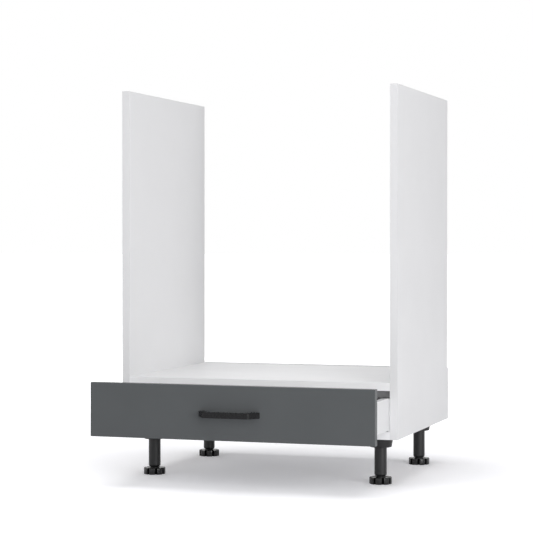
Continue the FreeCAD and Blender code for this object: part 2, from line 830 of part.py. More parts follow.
def foot_stem(where, x, y):
    """The threaded stem that carries the pad on a spigot."""
    profile = [("0", "-spigot_length"), ("spigot_radius", "-spigot_length"), ("spigot_radius", "0")]
    profile += [("stem_radius", "0"), ("stem_radius", "stem_shoulder")]
    profile += [("stem_tip_radius", "stem_length"), ("0", "stem_length")]
    body = turned("Stem", profile)
    sub_part(f"foot_stem_{where}", body, x, f"{y} - origin_y", "stem_seat")


def foot_pad(where, x, y):
    """The dished pad, gripped by the lobes between the slits in its rim."""
    profile = [("0", "0"), ("pad_foot_radius", "0"), ("pad_radius", "pad_foot_edge")]
    profile += [("pad_radius", "pad_rim_low"), ("pad_rim_radius", "pad_height")]
    profile += [("pad_hub_radius", "pad_hub_top"), ("pad_bore", "pad_hub_top")]
    profile += [("pad_bore", "pad_floor"), ("0", "pad_floor")]
    body = turned("Pad", profile)
    slit = new_sketch(body, "XY_Plane", "PadSlit")
    draw_rectangle(slit, ("-slit_half", "slit_half"), ("-slit_high", "-slit_low"))
    polar_pattern(body, pocket(body, slit, reverse=True), "pad_lobes")
    turn = FreeCAD.Rotation(FreeCAD.Vector(0, 0, 1), value(f"pad_turn_{where}"))
    sub_part(f"foot_pad_{where}", body, x, f"{y} - origin_y", facing=turn)


def legs():
    for where, (x, y) in LEGS.items():
        leg_socket(where, x, y)
        leg_column(where, x, y)
        foot_stem(where, x, y)
        foot_pad(where, x, y)


def cabinet_rail(name):
    """A sheet rail: foot on the bottom panel, flange on the side panel, and a web with a T head."""
    side = SIDES[name]
    corners = [("-web_half", "0"), ("runner_inset", "0"), ("runner_inset", "flange_height")]
    corners += [("flange_inner", "flange_height"), ("flange_inner", "sheet_metal")]
    corners += [("web_half", "sheet_metal")]
    corners += [("web_half", "head_low"), ("head_half", "head_low"), ("head_half", "head_height")]
    corners += [("-head_half", "head_height"), ("-head_half", "head_low"), ("-web_half", "head_low")]
    body = new_body("CabinetRail")
    section = new_sketch(body, "XZ_Plane", "CabinetRailSection")
    draw_polygon(section, [(mirrored(side, x), z) for x, z in corners])
    pad(body, section, "rail_length", reverse=True)
    drill = new_sketch(body, "YZ_Plane", "CabinetRailHoles")
    for y in RAIL_SCREWS:
        draw_circle(drill, y, "flange_screw_height", "screw_hole")
    pocket(body, drill, reverse=side > 0)
    where = (signed(side, "runner_x"), "rail_setback - origin_y", "bottom_top")
    sub_part(f"{name}_cabinet_rail", body, *where)


def drawer_rail(name):
    """A lipped channel under the drawer, with a slot for the catch and a hook behind the drawer back."""
    side = SIDES[name]
    mouth, inner, outer = "tray_mouth_half", "tray_inner", "tray_half"
    corners = [("-" + outer, "tray_rail_rise"), ("-" + mouth, "tray_rail_rise")]
    corners += [("-" + mouth, "tray_lip_top")]
    corners += [("-" + inner, "tray_lip_top"), ("-" + inner, "tray_ceiling"), (inner, "tray_ceiling")]
    corners += [(inner, "tray_lip_top"), (mouth, "tray_lip_top"), (mouth, "tray_rail_rise")]
    corners += [(outer, "tray_rail_rise"), (outer, "tray_rail_height"), ("-" + outer, "tray_rail_height")]
    body = new_body("DrawerRail")
    section = new_sketch(body, "XZ_Plane", "DrawerRailSection")
    draw_polygon(section, corners)
    pad(body, section, "tray_rail_length", reverse=True)
    slot = new_sketch(body, "YZ_Plane", "CatchSlot")
    draw_rectangle(slot, ("slot_front", "slot_rear"), ("slot_low", "slot_high"))
    pocket(body, slot, reverse=side < 0)
    hook = new_sketch(body, "XZ_Plane", "Hook")
    bind(hook, **{"AttachmentOffset.Base.z": "-tray_rail_length"})
    draw_rectangle(hook, ("-hook_half", "hook_half"), ("tray_ceiling", "hook_top"))
    pad(body, hook, "sheet_metal", reverse=True)
    pin = new_sketch(body, "XZ_Plane", "HookPin")
    bind(pin, **{"AttachmentOffset.Base.z": "-tray_rail_length"})
    draw_circle(pin, "0", "hook_pin_height", "hook_pin_radius")
    pad(body, pin, "hook_pin_length")
    where = (signed(side, "runner_x"), "front_rear + tray_rail_setback - origin_y", "bottom_top")
    sub_part(f"{name}_drawer_rail", body, *where)


def roller_carriage(name):
    """A saddle that rides on the T head and holds two rollers in pockets."""
    side = SIDES[name]
    inner, outer = "saddle_inner", "saddle_outer"
    corners = [("-" + outer, "saddle_low"), ("-" + inner, "saddle_low"), ("-" + inner, "deck_low")]
    corners += [(inner, "deck_low"), (inner, "saddle_low"), (outer, "saddle_low")]
    corners += [(outer, "deck_top"), ("-" + outer, "deck_top")]
    body = new_body("Carriage")
    section = new_sketch(body, "XZ_Plane", "CarriageSection")
    draw_polygon(section, corners)
    pad(body, section, "carriage_length", reverse=True)
    openings = new_sketch(body, "XY_Plane", "CarriageOpenings")
    for end in ("front", "rear"):
        limits = (f"pocket_{end}_low", f"pocket_{end}_high")
        draw_rectangle(openings, ("-pocket_half", "pocket_half"), limits)
    draw_rectangle(openings, ("-window_half", "window_half"), ("window_low", "window_high"))
    pocket(body, openings, reverse=True)
    where = (signed(side, "runner_x"), "carriage_y - origin_y", "bottom_top")
    sub_part(f"{name}_roller_carriage", body, *where)


def carriage_roller(name, end):
    """A chamfered roller that lies across the runner."""
    side = SIDES[name]
    profile = [("0", "0"), ("roller_tip_radius", "0"), ("roller_radius", "roller_chamfer")]
    profile += [("roller_radius", "roller_shoulder"), ("roller_tip_radius", "roller_length")]
    profile += [("0", "roller_length")]
    body = turned("Roller", profile)
    x = signed(side, "runner_x") + " - roller_half"
    y = f"carriage_y + roller_{end} - origin_y"
    sub_part(f"{name}_{end}_roller", body, x, y, "bottom_top + roller_height", TOWARDS["+x"])


def drawer_catch(name):
    """A catch housing screwed to the drawer front, with a pivot pin under it for the lever."""
    side = SIDES[name]
    corners = [("-catch_near", "0"), ("-catch_end", "0"), ("-catch_end", "catch_flange")]
    corners += [("-catch_far", "catch_flange"), ("-catch_far", "catch_length")]
    corners += [("-catch_near", "catch_length")]
    body = new_body("Catch")
    outline = new_sketch(body, "XY_Plane", "CatchOutline")
    draw_polygon(outline, [(mirrored(side, x), y) for x, y in corners])
    pad(body, outline, "catch_height")
    pin = new_sketch(body, "XY_Plane", "CatchPin")
    draw_circle(pin, mirrored(side, "-pivot_x"), "lever_pivot", "pivot_radius")
    pad(body, pin, "pivot_length", reverse=True)
    drill = new_sketch(body, "XZ_Plane", "CatchHoles")
    bind(drill, **{"AttachmentOffset.Base.y": "-catch_low"})
    for x in ("-catch_screw_near", "-catch_screw_far"):
        draw_circle(drill, mirrored(side, x), "catch_screw_height", "screw_hole")
    pocket(body, drill)
    where = (signed(side, "runner_x"), "front_rear - origin_y", "bottom_top + catch_low")
    sub_part(f"{name}_catch_housing", body, *where)


def catch_lever(name):
    """The lever that a finger pulls inwards to free the drawer from its rail."""
    side = SIDES[name]
    corners = [("lever_half", "lever_end"), ("-lever_half", "lever_end"), ("-lever_half", "-finger_stop")]
    corners += [("-finger_far", "-finger_stop"), ("-finger_far", "-lever_nose")]
    corners += [("lever_half", "-lever_nose")]
    corners += [("lever_half", "-tongue_start"), ("tongue_near", "-tongue_start")]
    corners += [("tongue_near", "-tongue_stop"), ("lever_half", "-tongue_stop")]
    body = new_body("Lever")
    outline = new_sketch(body, "XY_Plane", "LeverOutline")
    draw_polygon(outline, [(mirrored(side, x), y) for x, y in corners])
    draw_circle(outline, "0", "0", "pivot_bore")
    pad(body, outline, "lever_thickness")
    x = signed(side, "runner_x - pivot_x")
    y = "front_rear + lever_pivot - origin_y"
    sub_part(f"{name}_catch_lever", body, x, y, "bottom_top + lever_low")


def runners():
    rail_screws, catch_screws = [], []
    for name, side in SIDES.items():
        cabinet_rail(name)
        drawer_rail(name)
        roller_carriage(name)
        for end in ("front", "rear"):
            carriage_roller(name, end)
        drawer_catch(name)
        catch_lever(name)
        outwards = TOWARDS["+x" if side > 0 else "-x"]
        seat = signed(side, "inner_half - sheet_metal")
        for y in RAIL_SCREWS:
            rail_screws.append((seat, f"rail_setback + {y}", "bottom_top + flange_screw_height", outwards))
        for x in ("catch_screw_near", "catch_screw_far"):
            across = signed(side, f"runner_x - {x}")
            seat_y = "front_rear + catch_flange"
            catch_screws.append((across, seat_y, "bottom_top + catch_screw_height", TOWARDS["-y"]))
    head = ("screw_radius", "screw_head_radius", "rail_screw_head", "rail_screw_length")
    copies("rail_screws", screw("RailScrew", *head), rail_screws)
    head = ("screw_radius", "screw_head_radius", "screw_head", "catch_screw_length")
    copies("catch_screws", screw("CatchScrew", *head), catch_screws)


def drawer_front():
    """The drawer's front board, rounded along its visible edges and drilled from behind."""
    width = ("-front_half", "front_half")
    board = block("FrontBoard", width, ("front_face", "front_rear"), ("front_low", "front_high"))
    doc.recompute()
    rounded = doc.addObject("Part::Fillet", "FrontRounded")
    rounded.Base = board
    face = value("front_face")
    shown = [i for i, edge in enumerate(board.Shape.Edges, 1) if abs(edge.BoundBox.YMax - face) < NEAR]
    rounded.Edges = [(i, value("front_round"), value("front_round")) for i in shown]
    holes = []
    for side in SIDES.values():
        for z in ("drawer_cam_low_z", "drawer_cam_high_z"):
            bore = ("bolt_thread_radius + fit", "bolt_grip + hole_spare")
            holes.append(rod("BoltHole", "-y", *bore, signed(side, "drawer_bolt_x"), "front_rear", z))
        bore = ("handle_screw_radius + fit", "front_board")
        across = signed(side, "handle_hole")
        holes.append(rod("HandleHole", "-y", *bore, across, "front_rear", "handle_level"))
        for x in ("catch_screw_near", "catch_screw_far"):
            bore = ("screw_hole", "catch_screw_length - catch_flange + hole_spare")
            across = signed(side, f"runner_x - {x}")
            level = "bottom_top + catch_screw_height"
            holes.append(rod("CatchHole", "-y", *bore, across, "front_rear", level))
    reach = "drawer_inner + groove_depth"
    depth = ("front_rear - groove_depth", "front_rear")
    height = ("tray_low - groove_fit", "tray_top + groove_fit")
    holes.append(block("FrontGroove", (f"-({reach})", reach), depth, height))
    sub_part("drawer_front", cut("DrawerFront", rounded, holes))


def drawer_side(name):
    side = SIDES[name]
    x = span(side, "drawer_inner", "drawer_outer")
    board = block("DrawerSideBoard", x, ("front_rear", "drawer_rear"), ("drawer_low", "drawer_high"))
    inner = signed(side, "drawer_inner")
    outwards = "+x" if side > 0 else "-x"
    groove_x = span(side, "drawer_inner", "drawer_inner + groove_depth")
    height = ("tray_low - groove_fit", "tray_top + groove_fit")
    tools = [block("SideGroove", groove_x, ("front_rear", "drawer_rear"), height)]
    for z in ("drawer_cam_low_z", "drawer_cam_high_z"):
        y = "front_rear + drawer_cam_inset"
        seat = rod("CamHole", outwards, "drawer_cam_diameter / 2", "drawer_cam_depth + fit", inner, y, z)
        bore = ("bolt_radius + 2 * fit", "drawer_cam_inset")
        hole = rod("BoltHole", "+y", *bore, signed(side, "drawer_bolt_x"), "front_rear", z)
        both = doc.addObject("Part::Fuse", "CamSeat")
        both.Base = seat
        both.Tool = hole
        tools.append(both)
    for z in ("drawer_dowel_low", "drawer_dowel_high"):
        bore = ("drawer_dowel_radius + fit", "drawer_dowel_in_side + hole_spare")
        y = "drawer_rear - drawer_board / 2"
        tools.append(rod("DowelHole", outwards, *bore, inner, y, f"tray_top + {z}"))
    sub_part(f"{name}_drawer_side", cut("DrawerSide", board, tools))


def drawer_back():
    width = ("-drawer_inner", "drawer_inner")
    depth = ("drawer_rear - drawer_board", "drawer_rear")
    board = block("DrawerBackBoard", width, depth, ("tray_top", "drawer_high"))
    tools = []
    for side in SIDES.values():
        inwards = "-x" if side > 0 else "+x"
        for z in ("drawer_dowel_low", "drawer_dowel_high"):
            bore = ("drawer_dowel_radius + fit", "drawer_dowel_length - drawer_dowel_in_side + hole_spare")
            end = signed(side, "drawer_inner")
            middle = "drawer_rear - drawer_board / 2"
            tools.append(rod("DowelHole", inwards, *bore, end, middle, f"tray_top + {z}"))
        bore = ("hook_pin_radius + hook_pin_fit", "hook_pin_length + hole_spare")
        axis = signed(side, "runner_x")
        tools.append(rod("HookHole", "-y", *bore, axis, "drawer_rear", "bottom_top + hook_pin_height"))
    sub_part("drawer_back", cut("DrawerBack", board, tools))


def drawer_box():
    drawer_front()
    for name in SIDES:
        drawer_side(name)
    drawer_back()
    reach = "drawer_inner + groove_depth - groove_fit"
    depth = ("front_rear - groove_depth + groove_fit", "drawer_rear")
    plain_piece("drawer_bottom", (f"-({reach})", reach), depth, ("tray_low", "tray_top"))


def drawer_fittings():
    cams, bolts, dowels, bumpers = [], [], [], []
    for side in SIDES.values():
        outwards = TOWARDS["+x" if side > 0 else "-x"]
        # the cam's bore points to the drawer front
        forwards = FreeCAD.Rotation(X_AXIS, -90 if side > 0 else 90)
        facing = forwards.multiply(TOWARDS["+x" if side > 0 else "-x"])
        for z in ("drawer_cam_low_z", "drawer_cam_high_z"):
            place_y = "front_rear + drawer_cam_inset"
            cams.append((signed(side, "drawer_inner"), place_y, z, facing))
            bolts.append((signed(side, "drawer_bolt_x"), "front_rear - bolt_grip", z, TOWARDS["+y"]))
        for z in ("drawer_dowel_low", "drawer_dowel_high"):
            start = signed(side, "drawer_inner + drawer_dowel_in_side")
            inwards = TOWARDS["-x" if side > 0 else "+x"]
            dowels.append((start, "drawer_rear - drawer_board / 2", f"tray_top + {z}", inwards))
        for z in ("front_low + bumper_margin", "front_high - bumper_margin"):
            bumpers.append((signed(side, "bumper_x"), "front_rear", z, TOWARDS["+y"]))
    disc = cam("DrawerCam", "drawer_cam_radius", "drawer_cam_depth", "drawer_bolt_axis")
    copies("drawer_cams", disc, cams)
    copies("drawer_cam_bolts", cam_bolt("DrawerBolt", "drawer_bolt_length"), bolts)
    shape = ("drawer_dowel_radius", "drawer_dowel_tip_radius")
    shape += ("drawer_dowel_shoulder", "drawer_dowel_length")
    copies("drawer_dowels", dowel("DrawerDowel", *shape), dowels)
    dome = [("0", "0"), ("bumper_radius", "0"), ("bumper_radius", "bumper_shoulder")]
    dome += [("bumper_tip_radius", "bumper_height"), ("0", "bumper_height")]
    copies("drawer_bumpers", turned("Bumper", dome), bumpers)


def drawer_handle():
    """A bow handle with splayed feet, bored from behind for its two screws."""
    half, corner = "handle_half", "handle_corner"
    face, inner = "-handle_projection", "-handle_bar_inner"
    corners = [("-" + half, "0"), ("-" + corner, face), (corner, face), (half, "0")]
    corners += [("handle_foot_inner", "0"), ("handle_inner_half", inner)]
    corners += [("-handle_inner_half", inner), ("-handle_foot_inner", "0")]
    body = new_body("Handle")
    outline = new_sketch(body, "XY_Plane", "HandleOutline")
    draw_polygon(outline, corners)
    pad(body, outline, "handle_height")

    def is_corner(edge):
        box = edge.BoundBox
        upright = box.ZLength > value("handle_height") - NEAR
        return upright and abs(box.YMin + value("handle_projection")) < NEAR

    def is_bow_edge(edge):
        box = edge.BoundBox
        return box.ZLength < NEAR and box.YMin < -NEAR

    round_edges(body, "handle_corner_round", is_corner)
    round_edges(body, "handle_edge_round", is_bow_edge)
    drill = new_sketch(body, "XZ_Plane", "HandleBores")
    for x in ("-handle_hole", "handle_hole"):
        draw_circle(drill, x, "handle_mid", "handle_bore")
    pocket(body, drill, "handle_bore_depth", reverse=True)
    sub_part("drawer_handle", body, "", "front_face - origin_y", "handle_level - handle_mid")
    head = ("handle_screw_radius", "handle_screw_head_radius", "handle_screw_head", "handle_screw_length")
    places = []
    for side in SIDES.values():
        places.append((signed(side, "handle_hole"), "front_rear", "handle_level", TOWARDS["-y"]))
    copies("handle_screws", screw("HandleScrew", *head), places)


def check_document():
    """Stops if anything in the document failed or a piece isn't sound."""
    failed = [thing.Label for thing in doc.Objects if {"Invalid", "Error"} & set(thing.State)]
    if failed:
        raise RuntimeError("failed: " + ", ".join(failed))
    for thing in sub_parts:
        shape = thing.Shape
        if shape.isNull() or not shape.isValid() or not shape.Solids:
            raise RuntimeError(thing.Label + " isn't a sound solid")


carcass_boards()
carcass_fittings()
legs()
runners()
drawer_box()
drawer_fittings()
drawer_handle()
doc.recompute()
check_document()
os.makedirs("parts", exist_ok=True)
for thing in sub_parts:
    thing.Shape.exportStep(f"parts/{thing.Label}.step")
print(len(sub_parts), "pieces")
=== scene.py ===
import math

import bmesh
import bpy
from bpy.props import FloatProperty, FloatVectorProperty, IntProperty, PointerProperty
from mathutils import Matrix, Vector


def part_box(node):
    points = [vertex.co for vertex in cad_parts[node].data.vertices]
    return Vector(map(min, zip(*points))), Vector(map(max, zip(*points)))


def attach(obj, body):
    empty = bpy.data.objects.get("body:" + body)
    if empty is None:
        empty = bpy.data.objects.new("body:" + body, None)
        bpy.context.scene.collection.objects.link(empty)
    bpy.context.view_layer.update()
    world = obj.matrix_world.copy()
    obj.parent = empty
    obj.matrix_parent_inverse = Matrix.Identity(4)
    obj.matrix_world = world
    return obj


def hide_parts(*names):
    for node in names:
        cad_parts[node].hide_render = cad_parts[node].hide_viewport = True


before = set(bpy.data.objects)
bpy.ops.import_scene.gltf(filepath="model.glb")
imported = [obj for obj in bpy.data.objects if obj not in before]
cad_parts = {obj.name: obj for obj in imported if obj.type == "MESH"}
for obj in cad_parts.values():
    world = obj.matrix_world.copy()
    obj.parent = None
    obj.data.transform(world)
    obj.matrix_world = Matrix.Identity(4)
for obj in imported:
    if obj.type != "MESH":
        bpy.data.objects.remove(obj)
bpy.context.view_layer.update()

bl_info = {
    "name": "Oven Base Cabinet",
    "version": (1, 0, 0),
    "blender": (4, 5, 0),
    "location": "3D View > Sidebar > Cabinet",
    "description": "Finishes, fasteners and studio for an oven base cabinet with a drawer",
    "category": "Object",
}

# All lengths are in metres
SIDES = ("left", "right")
CORNERS = ("front_left", "front_right", "rear_left", "rear_right")
X, Y, Z = range(3)
UP = Vector((0, 0, 1))

# Points nearer than WELD are joined, and HAIR keeps two rings of points apart
WELD = 1e-7
HAIR = 0.00001

# Edges sharper than this are rounded, in a few flat steps
SHARP_ANGLE = math.radians(50)
ARRIS_STEPS = 2

# White boards: gloss, depth of the coat's peel, and depth and roughness of bare chips
BOARD_GLOSS = 0.35
PEEL_DEPTH = 0.00003
CHIP_DEPTH = 0.0004
CHIP_ROUGHNESS = 0.9
# How squarely a face has to look along an axis to count as facing it
FACING = 0.6

# Depth of the fine grain on bare and coated metal, and on plastic and foil
METAL_GRAIN = 0.00003
PLASTIC_GRAIN = 0.00002

# Domed screw head, in shares of its radius and height
DOME = ((1, 0), (1, 0.3), (0.93, 0.62), (0.8, 0.88), (0.62, 1))
# Countersunk screw head: height of its rim, and shares of its radius
SUNK_RIM = 0.00015
SUNK_EDGE = 0.98
SUNK_FLAT = 0.62
# Screws: points round a ring, plain neck under the head, start of the thread, and shanks by head radius
SCREW_SIDES = 28
SCREW_NECK = 0.0008
THREAD_START = 0.0012
SMALL_HEAD = 0.0038
SMALL_SHANK = 0.00175
LARGE_SHANK = 0.002

# Guide strip: its room to the drawer and its width, in shares of the gap that it stands in
GUIDE_ROOM = 0.1
GUIDE_WIDTH = 0.72
# Guide strip's nose, in shares of its width and depth
GUIDE_NOSE = ((0.0, 1.0), (0.0, 0.1), (0.1, 0.0), (0.55, 0.0), (0.85, 0.12), (1.0, 0.35), (1.0, 1.0))

# Foot stem: points round a ring, and rings in one turn of its thread
STEM_SIDES = 40
STEM_STEPS = 9

# Foot pad's sole, as radius and height
PAD_SOLE = ((0.0055, 0.0005), (0.012, 0.0004), (0.016, 0.0))
# Foot pad's rounded rim, as inset from the edge and distance from the nearer face
PAD_ROUND = ((0.0009, 0.0), (0.0004, 0.0001), (0.0001, 0.0004), (0.0, 0.001))
# Foot pad's dish and the mouth of its bore, as radius and depth under the upper face
PAD_DISH = ((0.016, 0.0001), (0.0148, 0.0005), (0.0122, 0.0011), (0.0118, 0.0012))
PAD_MOUTH = ((0.006, 0.0012), (0.0056, 0.0016))
# Foot pad's bore: its radius, and the height of its floor
PAD_BORE = (0.0056, 0.0048)
# Inner end of a slit in the pad, as distance from its floor and share of its half width
SLIT_END = ((0.0, 0.0), (0.0, 0.5), (0.0002, 0.86), (0.0006, 1.0), (0.0015, 1.0))
# Corner between slit and rim, as depth inside the rim and distance from the slit's wall
LOBE_CORNER = ((0.0011, 0.0), (0.0005, 0.0001), (0.00024, 0.0004))
# Steps along the rim from that corner to the middle of a lobe
LOBE_STEPS = 6
# Room in which a point or face is taken to lie at the slit's floor
SLIT_TOLERANCE = 0.0002
# Painted shade in the pad's slits: their brightness, as a share of the leg's colour
SLIT_PAINTED_SHADE = 0.25

# Softboxes: name, place, side length, setting of its power, and whether reflections show it
SOFTBOXES = (
    ("top_softbox", (0.0, -0.2, 3.2), 3.0, "top_light", True),
    ("right_softbox", (3.2, -3.1, 1.9), 3.2, "right_light", True),
    ("low_softbox", (3.3, -2.6, 0.45), 0.8, "low_light", True),
    ("left_softbox", (-3.0, -2.6, 1.5), 2.0, "left_light", True),
    ("rear_softbox", (-3.0, 2.8, 1.1), 2.0, "rear_light", False),
)
LAMP_TARGET = Vector((0.0, 0.0, 0.4))
FLOOR_REACH = 60.0
# Camera: sensor width in millimetres, and how far it sees
SENSOR_WIDTH = 36.0
CAMERA_REACH = 200.0


def colour(name, about, value):
    """A colour that the user can change."""
    return FloatVectorProperty(
        name=name, description=about, default=value, size=3, min=0, max=1, subtype="COLOR"
    )


def length(name, about, value):
    """A length that the user can change."""
    return FloatProperty(name=name, description=about, default=value, min=0, unit="LENGTH")


def place(name, about, value):
    """A point that the user can move."""
    return FloatVectorProperty(
        name=name, description=about, default=value, size=3, subtype="TRANSLATION", unit="LENGTH"
    )


def angle(name, about, degrees):
    """An angle that the user can change."""
    turn = math.radians(degrees)
    return FloatProperty(name=name, description=about, default=turn, subtype="ANGLE", unit="ROTATION")


def strength(name, about, value):
    """A plain number that the user can change."""
    return FloatProperty(name=name, description=about, default=value, min=0)


class CabinetFinishes(bpy.types.PropertyGroup):
    """Colours of the cabinet's materials."""

    board: colour("Board", "White melamine face of the carcass boards", (0.72, 0.72, 0.728))
    band: colour("Edge band", "White band on the sides' front edges", (0.72, 0.72, 0.728))
    level_band: colour("Level band", "Brighter band and guide strips", (0.855, 0.855, 0.865))
    # Painted light: the level band is whiter than the boards, lifting the shaded shelf and bottom edges and
    # the guide strips.
    chips: colour("Chipboard", "Pressed chips at the bare board edges", (0.42, 0.28, 0.16))
    # Partly painted light: the drawer's inside is whiter than the carcass boards, which also lifts its
    # shade.
    lightened_drawer_inside: colour("Drawer inside", "Bottom and back of the drawer", (0.86, 0.86, 0.87))
    # Painted shade: the band's grey stands in for the shade on the drawer's upper edges under the shelf.
    drawer_band_shade: colour("Drawer band", "Grey band on the upper edges of the drawer", (0.42, 0.42, 0.43))
    front: colour("Drawer front", "Anthracite foil of the drawer front", (0.0945, 0.1002, 0.1036))
    handle: colour("Handle", "Black powder coat of the handle", (0.0078, 0.0078, 0.0086))
    leg: colour("Leg", "Black plastic of the legs", (0.0165, 0.0165, 0.0173))
    # Painted shade: the shelf rail's grey stands in for the shaded inside under the shelf, seen beside the
    # drawer.
    rail: colour("Shelf rail", "Grey coat of the rail under the shelf", (0.15, 0.15, 0.154))
    steel: colour("Runner steel", "Galvanised sheet of the runners", (0.55, 0.56, 0.57))
    zinc: colour("Zinc", "Cast zinc of the cams", (0.5, 0.5, 0.52))
    screw: colour("Screw", "Plated steel of screws and bolts", (0.62, 0.61, 0.58))
    beech: colour("Dowel", "Beech of the dowels", (0.55, 0.37, 0.2))
    nylon: colour("Nylon", "White nylon of the roller carriages", (0.7, 0.7, 0.67))
    catch: colour("Catch", "Grey plastic of the catch housings", (0.16, 0.165, 0.17))
    lever: colour("Lever", "Light grey plastic of the catch levers", (0.33, 0.34, 0.35))
    bumper: colour("Bumper", "Pale soft plastic of the bumpers", (0.72, 0.74, 0.75))


class CabinetDetails(bpy.types.PropertyGroup):
    """Small sizes of what is drawn over the solids."""

    arris: length("Arris", "Rounding along the edge bands", 0.0004)
    guide_depth: length("Guide depth", "Depth of the guide strips beside the drawer", 0.0036)
    guide_setback: length("Guide setback", "Depth of the guide strips behind the boards' front", 0.0002)
    guide_drop: length("Guide drop", "Depth of the guide strips' upper end under the drawer's edge", 0.0012)
    rail_setback: length("Rail setback", "Depth of the shelf rail behind the boards' front", 0.002)
    rail_clearance: length("Rail clearance", "Room between the shelf rail and the drawer", 0.0007)
    rail_sheet: length("Rail sheet", "Thickness of the shelf rail's sheet", 0.0012)
    rail_flange: length("Rail flange", "Depth of the shelf rail's flange under the shelf", 0.024)
    rail_hem: length("Rail hem", "Height of the shelf rail's folded lower edge", 0.005)
    spigot_radius: length("Spigot radius", "Radius of the foot stem's end in the pad", 0.0055)
    spigot_height: length("Spigot height", "Height of the foot stem's end in the pad", 0.008)
    thread_pitch: length("Thread pitch", "Rise of the foot's thread in one turn", 0.003)
    thread_depth: length("Thread depth", "Depth of the foot's thread", 0.0011)
    screw_pitch: length("Screw pitch", "Rise of a wood screw's thread in one turn", 0.0018)
    lobes: IntProperty(name="Lobes", description="Lobes round each foot pad", default=8, min=3)
    pad_radius: length("Pad radius", "Radius of a foot pad", 0.0231)
    slit_width: length("Slit width", "Width of the slits between the lobes", 0.005)
    slit_depth: length("Slit depth", "Depth of the slits between the lobes", 0.0055)


class CabinetStudio(bpy.types.PropertyGroup):
    """Camera, light and floor."""

    camera_at: place("Camera", "Place of the camera", (1.1733, -3.6253, 0.4989))
    yaw: angle("Yaw", "Turn of the camera to the left", 18.275)
    pitch: angle("Pitch", "Tilt of the camera downwards", 0.818)
    lens: FloatProperty(name="Lens", description="Focal length in millimetres", default=120.195, min=1)
    sky: strength("Sky", "Light from all round", 0.21)
    top_light: strength("Top light", "Power of the softbox overhead", 67.0)
    right_light: strength("Right light", "Power of the softbox at the right", 96.0)
    low_light: strength("Low light", "Power of the small softbox near the floor at the right", 34.0)
    left_light: strength("Left light", "Power of the softbox at the left", 18.0)
    rear_light: strength("Rear light", "Power of the softbox behind the cabinet", 28.0)
    floor: colour("Floor", "Pale paint of the floor", (0.885, 0.885, 0.912))
    # Painted light: the floor's glow grows from near white to far white between these distances from the
    # floor middle, shaping the shade round the cabinet.
    floor_near: strength("Near white", "White that the floor adds to view by the cabinet", 0.217)
    floor_far: strength("Far white", "White that the floor adds to view far from the cabinet", 1.0)
    floor_middle: place("Floor middle", "Point from which the floor's white grows", (0.07, 0.156, 0.0))
    white_from: length("White from", "Distance at which the floor's white starts to grow", 0.316)
    white_to: length("White to", "Distance at which the floor's white is full", 1.61)


def tone(name):
    """The colour of a finish, as plain numbers."""
    return tuple(getattr(bpy.context.scene.cabinet_finishes, name))


def details():
    """The small sizes."""
    return bpy.context.scene.cabinet_details


class NodeSketch:
    """A material's node tree, put together step by step."""

    def __init__(self, name):
        self.material = bpy.data.materials.new(name)
        self.material.use_nodes = True
        self.tree = self.material.node_tree
        self.shader = self.tree.nodes["Principled BSDF"]
        self.place = self.node("ShaderNodeTexCoord").outputs["Object"]

    def node(self, kind, inputs=None, **settings):
        """Adds a node with its settings and some of its inputs."""
        made = self.tree.nodes.new(kind)
        for key, setting in settings.items():
            setattr(made, key, setting)
        for key, given in (inputs or {}).items():
            self.feed(made.inputs[key], given)
        return made

    def feed(self, socket, given):
        """Links a socket to an output, or sets its value."""
        if isinstance(given, bpy.types.NodeSocket):
            self.tree.links.new(given, socket)
        else:
            socket.default_value = given

    def reckon(self, operation, *given):
        """The result of a sum, a product or a comparison."""
        return self.node("ShaderNodeMath", dict(enumerate(given)), operation=operation).outputs[0]

    def noise(self, scale, detail=3.0, stretch=None):
        """A noise over the piece, with scale in patches per metre, and stretched where asked."""
        spot = self.place
        if stretch:
            spot = self.node("ShaderNodeMapping", {"Vector": spot, "Scale": stretch}).outputs[0]
        sizes = {"Vector": spot, "Scale": scale, "Detail": detail}
        return self.node("ShaderNodeTexNoise", sizes).outputs["Fac"]

    def cells(self, scale):
        """A random grey for each cell of a pattern, with scale in cells per metre."""
        sizes = {"Vector": self.place, "Scale": scale, "Randomness": 1.0}
        pattern = self.node("ShaderNodeTexVoronoi", sizes, feature="F1").outputs["Color"]
        return self.node("ShaderNodeSeparateColor", {"Color": pattern}).outputs[0]

    def facing(self, axis):
        """How far a face looks along an axis, from -1 to 1."""
        normal = self.node("ShaderNodeTexCoord").outputs["Normal"]
        return self.node("ShaderNodeSeparateXYZ", {"Vector": normal}).outputs[axis]

    def spread(self, given, low, high, start=0.3, stop=0.7):
        """Turns values between start and stop into values between low and high."""
        limits = {"Value": given, "From Min": start, "From Max": stop, "To Min": low, "To Max": high}
        return self.node("ShaderNodeMapRange", limits).outputs[0]

    def mix(self, share, first, second):
        """A colour between two others."""
        return self.node("ShaderNodeMix", {0: share, 6: first, 7: second}, data_type="RGBA").outputs[2]

    def between(self, share, first, second):
        """A number between two others."""
        return self.node("ShaderNodeMix", {0: share, 2: first, 3: second}).outputs[0]

    def tints(self, share, tint, low, high):
        """A colour between two brightnesses of a tint."""
        dark = tuple(c * low for c in tint) + (1,)
        light = tuple(min(1, c * high) for c in tint) + (1,)
        return self.mix(share, dark, light)

    def shade(self, tint, low, high, scale):
        """A tint that varies softly between two brightnesses."""
        return self.tints(self.spread(self.noise(scale), 0, 1), tint, low, high)

    def bump(self, height, depth):
        """A relief of a height pattern."""
        sizes = {"Height": height, "Distance": depth, "Strength": 1.0}
        return self.node("ShaderNodeBump", sizes).outputs[0]

    def finish(self, base, rough, normal, **sockets):
        """Feeds the shader, and gives the material."""
        self.feed(self.shader.inputs["Base Color"], base)
        self.feed(self.shader.inputs["Roughness"], rough)
        self.feed(self.shader.inputs["Normal"], normal)
        for key, given in sockets.items():
            self.feed(self.shader.inputs[key.replace("_", " ")], given)
        return self.material


